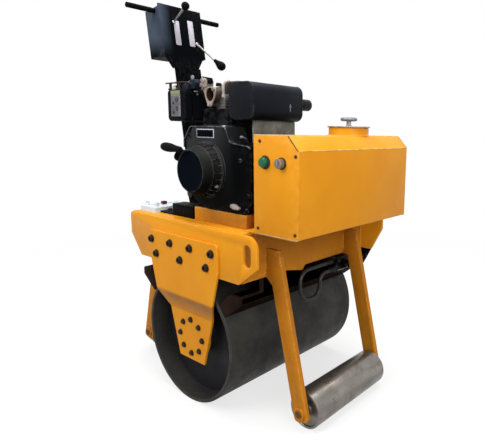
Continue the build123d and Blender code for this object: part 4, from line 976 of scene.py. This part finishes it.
def head_corners(inset):
    """Opposite corners of the head's outline, moved in."""
    return (head_rear + inset, head_right + inset), (head_front - inset, head_left - inset)


for name, material, first, count, finish in (
        ("head_fins", DARK_CAST, 0, 3, {}),
        ("head_casting", CAST_ALLOY, 3, 4, {"replaces": ("cylinder_head",),
                                            "slot": "cast_alloy"})):
    fins = Piece()
    for k in range(first, first + count):
        near, far = head_corners(k % 2)
        z = HEAD_LOW.z + 2 + FIN_PITCH * k
        fins.box((*near, z), (*far, z + FIN_THICKNESS))
    fins.box((head_rear + 7, head_right + 5, HEAD_LOW.z + FIN_PITCH * first),
             (head_front - 7, head_left - 7, HEAD_LOW.z + FIN_PITCH * (first + count)))
    fins.done(name, material, bevel=1.4, **finish)
near, far = head_corners(1)
Piece().box((*near, seat - 8), (*far, seat)).done("head_deck", CAST_ALLOY, bevel=2.0)
for name, material, inset, radius, foot, top, soft in (
        ("rocker_flange", PALE_CAST, 5.0, 12.0, seat - 0.5, seat + 5.0, 0.8),
        ("rocker_cover", BROWN_CAST, 9.5, 14.0, seat + 4.5, HEAD_HIGH.z - 0.5, 6.0)):
    Piece().plate(rectangle(*head_corners(inset)), radius, foot, top, "z").done(
        name, material, bevel=soft, segments=3, sharp=40)
bolts("rocker_bolts", [(x, y, seat + 5) for x in (head_rear + 13, head_front - 13)
                       for y in (head_right + 10, head_left - 10)], "z", M6, BRIGHT_STEEL)

# Intake port: a pale three-eared flange with a dark bore, facing the right-hand side.
PORT = Vector((13.0, HEAD_LOW.y, seat + 2.0))
PORT_BORE, PORT_LIP = (20.2, 20.4), (21.0, 21.2)        # half widths
PORT_HALF = (23.6, 24.4)
PORT_EARS = ((150.0, 20.0, 12), (34.0, 8.0, 10), (266.0, 14.0, 8))     # angle, reach, sharpness
PORT_STEPS = 72


def port_loop(half, y, swell=1.0, ears=()):
    """Outline of the port at a depth y, with its ears or without."""
    loop = []
    for k in range(PORT_STEPS):
        t = 2 * math.pi * k / PORT_STEPS
        grow = sum(reach * max(0.0, math.cos(t - math.radians(angle))) ** sharpness
                   for angle, reach, sharpness in ears)
        loop.append(PORT + Vector(((half[0] * swell + grow) * math.cos(t), y,
                                   (half[1] * swell + grow) * math.sin(t))))
    return loop


loops = [port_loop(PORT_HALF, 4.6, 1.0, PORT_EARS), port_loop(PORT_HALF, 1.2, 1.0, PORT_EARS),
         port_loop(PORT_HALF, 0.0, 0.96, PORT_EARS), port_loop(PORT_LIP, 0.0),
         port_loop(PORT_BORE, 1.2), port_loop(PORT_BORE, 4.6)]
Piece().skin(loops + loops[:1], caps=False).done("intake_flange", GASKET, sharp=30)
throat = Piece()
throat.skin([port_loop(PORT_BORE, 4.2), port_loop(PORT_BORE, 22.0, 0.97),
             port_loop(PORT_BORE, 30.0, 0.9)], caps=False)
throat.bm.faces.new([throat.vertex(p) for p in port_loop(PORT_BORE, 30.0, 0.9)])
throat.done("intake_throat", BROWN_OXIDE, sharp=50)
Piece().skin([port_loop(PORT_HALF, 4.2, 0.98), port_loop(PORT_HALF, 18.0, 0.96),
              port_loop(PORT_HALF, 46.0, 1.1)], caps=False).done(
    "intake_neck", BROWN_CAST, sharp=50)
studs = [PORT + Vector(((PORT_HALF[0] + reach - 6.5) * math.cos(math.radians(angle)), -0.2,
                        (PORT_HALF[1] + reach - 6.5) * math.sin(math.radians(angle))))
         for angle, reach, _ in PORT_EARS]
bolts("intake_studs", studs[:2], OUT, M6, CAST_ALLOY, washer=False)
bolts("intake_low_stud", studs[2:], OUT, M6, PALE_CAST, washer=False)

# Manifold between the port and the head, over the black cowl.
block = at(PORT.x, head_right, seat)
block.plate([(-28, -46), (42.45, -46), (42.45, -4), (8, 2), (-20, -14)], [4, 3, 4, 6, 8], -9, 14)
for k in range(4):
    block.box((3 * k - 22, -10.5, 8.5 * k - 41), (40.45, -8, 8.5 * k - 38))
block.done("manifold_block", CAST_ALLOY, bevel=1.6)

# Elbow, governor and decompression lever, drawn from the head's deck above the port.
CROWN = Vector((PORT.x, PORT.y, seat))
at(*CROWN).plate([(-47, 24), (-12, 22), (-8, 46), (-18, 55), (-42, 53)], [7, 7, 8, 8, 9],
                 -4, 26).done("intake_elbow", PALE_CAST, bevel=4.0, segments=3, sharp=30)
bolts("elbow_bolts", [CROWN + Vector(p) for p in ((-22, -4, 44), (-36, -4, 32))], OUT, M6, GASKET,
      washer=False)
at(*CROWN).prism([(-34, 55), (4, 49), (4, 53), (-34, 59)], -2, 6).lathe(
    [(6.0, 0), (7.8, 3), (7.8, 13), (6.0, 18), (0.05, 18)], (1, 4, 35), "z", 24).done(
    "decompression_lever", PLASTIC, bevel=1.0)
at(*CROWN).plate([(-91, 19), (-43, 19), (-35, 37), (-43, 49), (-65, 49), (-75, 35), (-91, 31)],
                 [2, 3, 5, 5, 5, 5, 3], -24, 2).done(
    "governor_housing", BLUE_BLACK, bevel=2.5, segments=3)
at(*CROWN).plate([(-67, 43), (-57, 43), (-53, 57), (-61, 63), (-69, 61)], [2, 2, 3, 3, 3],
                 -18, -15).bend([(-63, -19, 47), (-79, -22, 41), (-97, -26, 31)], 1.8, 8, 5).done(
    "governor_arm", INSERT_STEEL, bevel=0.6)
at(*CROWN).plate([(-11, 30), (11, 28), (9, 40), (-7, 42)], 3, 32, 42).done(
    "lever_hub", BLACK_OXIDE, bevel=1.5)

# Injection pipe beside the muffler, return pipe and fuel hoses.
at(PORT.x + 33, head_right, seat).bend(
    [(0, -6, -4), (0, -7, 14), (1, -6, 32), (4, -2, 41), (14, 8, 46)], 4.6, 12).lathe(
    [(7.5, 0), (7.5, 8), (5.5, 9)], (0, -6, -6), "z", 6).done(
    "injection_pipe", SATIN_STEEL, sharp=40)
at(head_front, head_right, seat).bend(
    [(-30, -2, -10), (-8, -12, -18), (-2, -16, -44), (-10, -20, -84)], 3.0).done(
    "return_pipe", DARK_STEEL)
at(*CROWN).bend([(83, 40, -67), (99, 28, -91), (107, 24, -121), (105, 30, -145)], 5.0, 10).bend(
    [(-55, -14, 25), (-33, -4, 11), (-25, 4, -11), (-15, 14, -31), (1, 28, -41)], 4.2, 10).done(
    "fuel_hoses", RUBBER)
at(CRANK.x + 108, FACE + 44, CRANK.z + 102).lathe(
    [(4.4, -3), (4.4, 4), (3.0, 6), (0.05, 6)], (0, 0, 0), OUT, 20).pipe(
    [(0, 3, 0), (-8, 21, -4), (-16, 38, -16)], 3.0, 8).done("pump_nut", INSERT_STEEL, sharp=30)

# Air cleaner: on its face a ribbed insert, spots, a tag and a clip, drawn from its low corner.
RIBS, RIB_PITCH = 11, 4.2
low, high = span("air_cleaner")
length, height = high.x - low.x, high.z - low.z
dress("air_cleaner", CLEANER_BLACK, 5.0, 4, slot="engine_black")
at(*low).box((22.0, -1.6, 15.0), (71.5, 1.0, 83.0)).done("cleaner_insert", INSERT_STEEL, bevel=1.0)
ribs = at(*low)
for k in range(RIBS):
    x = 25.4 + RIB_PITCH * k
    ribs.box((x, -3.0, 17.5), (x + 1.7, -1.4, 80.5))
ribs.done("cleaner_ribs", INSERT_STEEL)
spots = at(*low)
for x, z, size in ((56, 67, 6.4), (36, 57, 4.6), (56, 39, 6.8), (39, 27, 4.8)):
    spots.lathe([(size, 1.0), (size, 3.6), (size - 1.2, 4.0), (size - 2.0, 3.0), (0.05, 2.6)],
                (x, 0, z), OUT, 20)
spots.done("cleaner_spots", BLACK_OXIDE, sharp=30)
at(*low).box((22.5, -2.2, 83.0), (71.0, 1.0, 95.5)).done("cleaner_tag", OLIVE, bevel=0.5)
at(*low).box((length - 1, 37, 93), (length + 1, 51, 97)).done("cleaner_clip", STRIP, bevel=0.6)
screws("cleaner_clip_screw", [low + Vector((length, 49, 86))], "x", 7.0, SWITCH_STEEL)
at(*low).plate(rectangle((0, 0), (length, height)), 13, 26, 31).done(
    "cleaner_band", BLACK, bevel=0.8)
# On its top: the throttle's link, a cap, nuts and bosses.
link = at(low.x, low.y, high.z)
link.box((-18, 6, 19), (38, 11, 23))
link.bend([(34, 9, 21), (56, 12, 22), (82, 18, 21), (104, 26, 14)], 3.0)
for x, y in ((6, 10), (47, 14)):
    link.lathe([(8, -1), (8, 3), (4.5, 5), (4.5, 21)], (x, y, 0), "z", 16)
link.done("throttle_link", BLACK_OXIDE, bevel=0.6)
at(low.x, low.y, high.z).plate([(10, -1), (86, -1), (84, 12), (60, 17), (16, 15)],
                               [2, 2, 4, 6, 5], 18, 54).done("cleaner_cap", BLUE_BLACK, bevel=2.0)
for name, material, places in (
        ("cleaner_nuts", SATIN_STEEL, ((24, 12, 7.5, 13.0), (76, 24, 6.0, 9.0))),
        ("cleaner_bosses", DARK_CAST, ((38, 28, 9.0, 14.0), (58, 36, 10.0, 18.0),
                                       (14, 40, 11.0, 12.0)))):
    bits = at(low.x, low.y, high.z)
    for x, y, size, tall in places:
        bits.lathe([(size, -2), (size, tall * 0.4), (size * 0.8, tall * 0.5),
                    (size * 0.6, tall * 0.55), (size * 0.6, tall - 1), (size * 0.4, tall)],
                   (x, y, -0.4), "z", 14)
    bits.done(name, material, sharp=30)
dress("intake_pipe", DARK_CAST, 1.0, slot="cast_alloy")

# Muffler: pressed shell with folded seams and a painted sheen on its upper front, its mark,
# bracket, flange and outlet.
MUFFLER_RADIUS = 26.0
FOLD_GROWTH = 1.012             # how far the seams stand out, as a share
low, high = span("muffler")
dress("muffler", MUFFLER_BLACK, 3.0, 3, slot="engine_black")
half_x, half_z = (high.x - low.x) / 2, (high.z - low.z) / 2
outline = [p * FOLD_GROWTH for p in rounded(rectangle((-half_x, -half_z), (half_x, half_z)),
                                            MUFFLER_RADIUS, 8)]
for tag, y in (("a", low.y + 3.0), ("b", high.y - 6.0)):
    at(low.x + half_x, y, low.z + half_z).prism(outline, 0, 2.6).done(
        f"muffler_fold_{tag}", MUFFLER_BLACK, bevel=0.9)
at(high.x, low.y, low.z).box((-0.4, 156.0, 29.0), (0.8, 158.4, 53.0)).box(
    (-0.4, 152.0, 44.0), (0.8, 163.0, 46.0)).done("muffler_tab", INSERT_STEEL, bevel=0.3)
dress("muffler_bracket", RAW_STEEL, 0.8, slot="engine_black")
dress("exhaust_flange", BLACK_OXIDE, 1.0, slot="cast_alloy")
low, high = span("exhaust_outlet")
foot = ((low.x + high.x) / 2, low.y, (low.z + high.z) / 2)
radius, length = (high.x - low.x) / 2, high.y - low.y
Piece().ring([(radius, -0.5), (radius, length - 1.5), (radius - 0.8, length),
              (radius - 2.4, length), (radius - 3.0, length - 1.0), (radius - 3.0, 2.0)],
             foot, "y", 48).stand_in(
    "exhaust_outlet", MUFFLER_BLACK, sharp=40, slot="engine_black")
Piece().lathe([(radius - 2.6, 2.4), (0.05, 2.4)], foot, "y", 32, caps=False).done(
    "exhaust_baffle", BLACK_OXIDE)

# Drain plug on the shroud's low corner, and the engine's feet.
at(CASE_LOW.x + 219, FACE, CASE_LOW.z + 20).plate(
    [(0, 0), (12, -5), (34, -6), (39, -1), (29, 5), (16, 10), (2, 9)], [3, 3, 3, 2, 3, 4, 3],
    -11, 1).done("drain_plug", PALE_CAST, bevel=3.0, segments=3, sharp=30)
feet = Piece()
for x in (CASE_LOW.x + 34, CASE_HIGH.x - 92):
    feet.box((x, FACE + 8, BED_HIGH.z - 0.2), (x + 46, FACE + 70, BED_HIGH.z + 10))
feet.done("engine_feet", BLACK, bevel=2.0)
bolts("engine_foot_bolts", [(x, FACE + 28, BED_HIGH.z + 10)
                            for x in (CASE_LOW.x + 57, CASE_HIGH.x - 69)], "z", M10, BLACK_OXIDE)

# ---- Deck items ---------------------------------------------------------
FILLER_CAPS, CAP_PITCH = 5, 24
low, high = span("battery")
dress("battery", WHITE, 2.5, 3, slot="white_plastic")
dress("battery_tray", PLASTIC, 0.8, slot="black_plastic")
corner = (low.x, low.y, high.z)
caps, posts = at(*corner), at(*corner)
for k in range(FILLER_CAPS):
    caps.lathe([(7.5, -0.5), (7.5, 2.5), (6.5, 3.4), (2.0, 3.4), (1.6, 2.4), (0.05, 2.4)],
               (24, 28 + CAP_PITCH * k, 0), "z", 20)
caps.done("battery_caps", WHITE)
for x in (high.x - low.x - 16, 16):
    posts.lathe([(8.5, -0.5), (8.5, 3.0), (6.5, 4.0), (5.8, 13.0), (5.0, 14.0), (0.05, 14.0)],
                (x, 16, 0), "z", 24)
posts.done("battery_posts", WHITE, sharp=30)
at(*corner).box((37, 54, 2), (55, 71, 12)).done("battery_clamp", RED, bevel=2.5)
low, high = span("relay_box")
dress("relay_box", PLASTIC, 1.6, 3, slot="black_plastic")
bolts("relay_bolts", [(low.x + 18, (low.y + high.y) / 2, FRAME_TOP + 6)], "z", M8, BLACK_OXIDE)
Piece().box((low.x + 74, low.y, high.z - 7), (high.x, high.y, high.z - 4)).done(
    "relay_lid", PLASTIC, bevel=0.8)

# ---- Hydraulics ---------------------------------------------------------
HOSE_ENDS = ((20.0, 32.0), (32.0, 8.0))             # from the valve's low corner
dress("hydraulic_valve", BLACK, 1.5, slot="engine_black")
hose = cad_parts["hydraulic_hose"]
hose.data.materials.clear()
hose.data.materials.append(HOSE)
low, high = span("hydraulic_valve")
middle = (low + high) / 2
fittings = at(*low)
for x, z in HOSE_ENDS:
    fittings.lathe([(9.5, -0.5), (9.5, 8.0), (8.5, 9.0), (8.5, 13.0), (8.0, 14.0), (8.0, 30.0),
                    (7.2, 32.0), (6.6, 32.0)], (x, 0, z), OUT, 24)
fittings.done("hose_fittings", DARK_STEEL, sharp=30)
Piece().lathe([(11, -0.5), (11, 7), (9, 9), (6, 9), (5, 16), (0.05, 16)],
              (middle.x, high.y, middle.z), "y", 24).done("valve_cap", DARK_STEEL, sharp=30)
bolts("valve_bolts", [(high.x, y, z) for y in (low.y + 12, high.y - 12)
                      for z in (low.z + 11, high.z - 11)], "x", M6, DARK_STEEL)
Piece().pipe([(high.x + 1.2, low.y + 4, low.z + 3.5), (high.x + 1.8, middle.y, low.z + 2.5),
              (high.x + 1.2, high.y - 4, low.z + 3.5)], 1.6, 8).done(
    "valve_drain_pipe", BRIGHT_STEEL)

# ---- Handle -------------------------------------------------------------
HANDLE_LEAN = math.radians(9.2)
CONSOLE_FACE = -14.0
BAR = (-46.0, 701.0)            # bar's axis behind and above the pivot
BAR_HALF = 203.0
GRIP_LENGTH, GRIP_RADIUS = 104.0, 9.5
GRIP_RIBS, GRIP_RIB_PITCH = 22, 4.4
LEVER_ROD = 4.0                 # radius
KNOB_RADIUS = 15.0
low, high = span("handle_pin")
PIVOT = Vector(((low.x + high.x) / 2, 0, (low.z + high.z) / 2))
HANDLE_PLACE = Matrix.Translation(PIVOT) @ Matrix.Rotation(-HANDLE_LEAN, 4, "Y")


def at_handle():
    """A piece drawn with the column upright on the pivot and its face to +X."""
    return Piece(HANDLE_PLACE)


dress("handle_base", GLOSS_BLACK, 1.5, slot="handle_black")
dress("handle_pin", BLACK_OXIDE, 1.5, slot="bright_steel")
dress("handle_column", GLOSS_BLACK, 3.0, 3, slot="handle_black", body="handle")
dress("console", CONSOLE_BLACK, 3.0, 3, slot="handle_black", body="handle")
dress("handlebar", GLOSS_BLACK, 1.0, slot="handle_black", body="handle")
bolts("base_bolts", [(PIVOT.x + 38, y, FRAME_TOP + 6) for y in (-30, 30)], "z", M10, BRIGHT_STEEL)
grip = [(0.05, 0.0), (8.2, 0.0), (9.3, 0.8), (GRIP_RADIUS, 2.5)]
for k in reversed(range(GRIP_RIBS)):
    start = GRIP_LENGTH - 4.0 - GRIP_RIB_PITCH * k
    grip += [(8.7, start - 3.9), (8.7, start - 3.1), (GRIP_RADIUS, start - 2.6),
             (GRIP_RADIUS, start)]
grip += [(GRIP_RADIUS, GRIP_LENGTH - 2.0), (9.2, GRIP_LENGTH - 0.6), (8.0, GRIP_LENGTH)]
for side, sign in SIDES:
    at_handle().lathe(grip, (BAR[0], sign * (BAR_HALF - GRIP_LENGTH), BAR[1]), (0, sign, 0),
                      40).stand_in(
        f"hand_grip_{side}", RUBBER, slot="black_rubber", body="handle")
strips, gates = at_handle(), at_handle()
for low_corner, high_corner in (((-36.0, 575.0), (-13.0, 668.0)), ((26.0, 578.0), (50.5, 678.0))):
    strips.plate(rectangle(low_corner, high_corner), 2.5, CONSOLE_FACE - 0.3, CONSOLE_FACE + 0.9,
                 "x", 4)
strips.done("console_strips", STRIP, bevel=0.3, body="handle")
for y, foot, top in ((-36.0, 640.0, 690.0), (58.0, 560.0, 640.0)):
    gates.plate(rectangle((y - 6.5, foot), (y + 6.5, top)), 6, CONSOLE_FACE - 0.3,
                CONSOLE_FACE + 0.6, "x", 5)
gates.done("console_gates", RUBBER, body="handle")
ball = [(KNOB_RADIUS * math.sin(t), -KNOB_RADIUS * math.cos(t))
        for t in (math.pi * k / 20 for k in range(20))]
ball = [(5.5, -16.5), (5.5, -14.6)] + [p for p in ball if p[1] > -13.8] + [(0.05, KNOB_RADIUS)]
pear = [(5.0, -44.0), (6.5, -42.0), (8.6, -30.0), (12.5, -16.0), (15.8, -5.0), (16.8, 2.0),
        (16.0, 8.5), (12.6, 13.6), (7.0, 16.4), (0.05, 17.0)]
for name, y, root, tip, reach, knob in (("drive_lever", -36.0, 660.0, 696.0, 85.0, ball),
                                        ("throttle_lever", 58.0, 592.0, 475.0, 132.0, pear)):
    start = Vector((CONSOLE_FACE, y, root))
    end = Vector((CONSOLE_FACE + reach, y, tip))
    along = (end - start).normalized()
    at_handle().pipe([start - along * 0.4, end - along * 8.0], LEVER_ROD, 16).lathe(
        [(7.0, 0.2), (7.0, 3.0), (5.2, 5.0), (LEVER_ROD, 5.4)], start, along, 20).done(
        f"{name}_rod", BRIGHT_STEEL, sharp=40, body="handle")
    at_handle().lathe(knob, end, along, 36).done(
        f"{name}_knob", PLASTIC, (name,), sharp=50, slot="handle_black", body="handle")

# ---- Floor and backdrop ---------------------------------------------------
FLOOR_REACH = 30.0              # metres to each side
FLOOR_SEEN = 0.9                # floor's reflectance where the camera sees it
FLOOR_BOUNCE = 0.26             # and where it only lights the object
FLOOR_GLOW = 0.7                # share of white background beside the object
FLOOR_FADE = (0.9, 2.8)         # distances in metres over which that share reaches 1
WORLD_DIFFUSE = 0.46
floor_mesh = bpy.data.meshes.new("floor")
floor_mesh.from_pydata([(x, y, 0) for x, y in rectangle((-FLOOR_REACH,) * 2, (FLOOR_REACH,) * 2)],
                       [], [(0, 1, 2, 3)])
floor = bpy.data.objects.new("floor", floor_mesh)
bpy.context.scene.collection.objects.link(floor)
s = Shader("studio_floor")
rays = s.node("ShaderNodeLightPath").outputs
base = s.blend(rays["Is Camera Ray"], (FLOOR_BOUNCE,) * 3, (FLOOR_SEEN,) * 3)
s.link(base, s.principled.inputs["Base Color"])
s.principled.inputs["Roughness"].default_value = 0.9
s.principled.inputs["Specular IOR Level"].default_value = 0.0
distance = s.node("ShaderNodeVectorMath", operation="LENGTH")
s.link(s.coordinates, distance.inputs[0])
lit = s.spread(distance.outputs["Value"], FLOOR_FADE[0], FLOOR_FADE[1], FLOOR_GLOW, 1.0)
glow = s.node("ShaderNodeEmission")
glow.inputs["Color"].default_value = (1, 1, 1, 1)
glow.inputs["Strength"].default_value = 1.0
mix = s.node("ShaderNodeMixShader")
s.link(s.times(s.looked_at(rays), lit), mix.inputs["Fac"])
s.link(s.principled.outputs["BSDF"], mix.inputs[1])
s.link(glow.outputs["Emission"], mix.inputs[2])
s.link(mix.outputs["Shader"], s.tree.nodes["Material Output"].inputs["Surface"])
floor_mesh.materials.append(s.material)

world = bpy.data.worlds.new("studio")
bpy.context.scene.world = world
world.use_nodes = True
s = Nodes(world.node_tree)
background = s.tree.nodes["Background"]
background.inputs["Color"].default_value = (1, 1, 1, 1)
shown = s.looked_at(s.node("ShaderNodeLightPath").outputs)
s.link(s.spread(shown, 0.0, 1.0, WORLD_DIFFUSE, 1.0), background.inputs["Strength"])


# ---- Lights: place and target in metres, width of the square, watts ---------
def lamp(name, place, target, width, power):
    light = bpy.data.lights.new(name, "AREA")
    light.shape = "RECTANGLE"
    light.size = light.size_y = width
    light.energy = power
    holder = bpy.data.objects.new(name, light)
    holder.location = place
    aim = Vector(target) - Vector(place)
    holder.rotation_euler = aim.to_track_quat("-Z", "Y").to_euler()
    bpy.context.scene.collection.objects.link(holder)


lamp("key", (-0.6, -2.6, 2.6), (0, 0, 0.5), 1.8, 66)
lamp("top", (0.3, 0.1, 3.2), (0, 0, 0.6), 2.2, 96)
lamp("front", (2.9, -1.3, 1.5), (0, 0, 0.6), 1.6, 52)

# ---- Camera: place in millimetres, angles in degrees --------------------------
CAMERA_PLACE = (1265.96, -1158.59, 893.15)
CAMERA_YAW, CAMERA_PITCH, CAMERA_ROLL = 37.036, 9.24, 1.186
CAMERA_LENS, CAMERA_SENSOR = 35.07, 36.0
CAMERA_SHIFT = (-0.2047, -0.0289)
yaw, pitch, roll = (math.radians(a) for a in (CAMERA_YAW, CAMERA_PITCH, CAMERA_ROLL))
forward = Vector((-math.sin(yaw) * math.cos(pitch), math.cos(yaw) * math.cos(pitch),
                  -math.sin(pitch)))
level = Vector((math.cos(yaw), math.sin(yaw), 0))
upright = level.cross(forward)
right = math.cos(roll) * level + math.sin(roll) * upright
up = math.cos(roll) * upright - math.sin(roll) * level
lens = bpy.data.cameras.new("camera")
lens.lens = CAMERA_LENS
lens.sensor_width = CAMERA_SENSOR
lens.sensor_fit = "HORIZONTAL"
lens.shift_x, lens.shift_y = CAMERA_SHIFT
lens.clip_start = 0.05
camera = bpy.data.objects.new("camera", lens)
turned = Matrix((right, up, -forward)).transposed().to_4x4()
camera.matrix_world = Matrix.Translation(Vector(CAMERA_PLACE) * MM) @ turned
bpy.context.scene.collection.objects.link(camera)
bpy.context.scene.camera = camera
bpy.context.scene.view_settings.view_transform = "Standard"
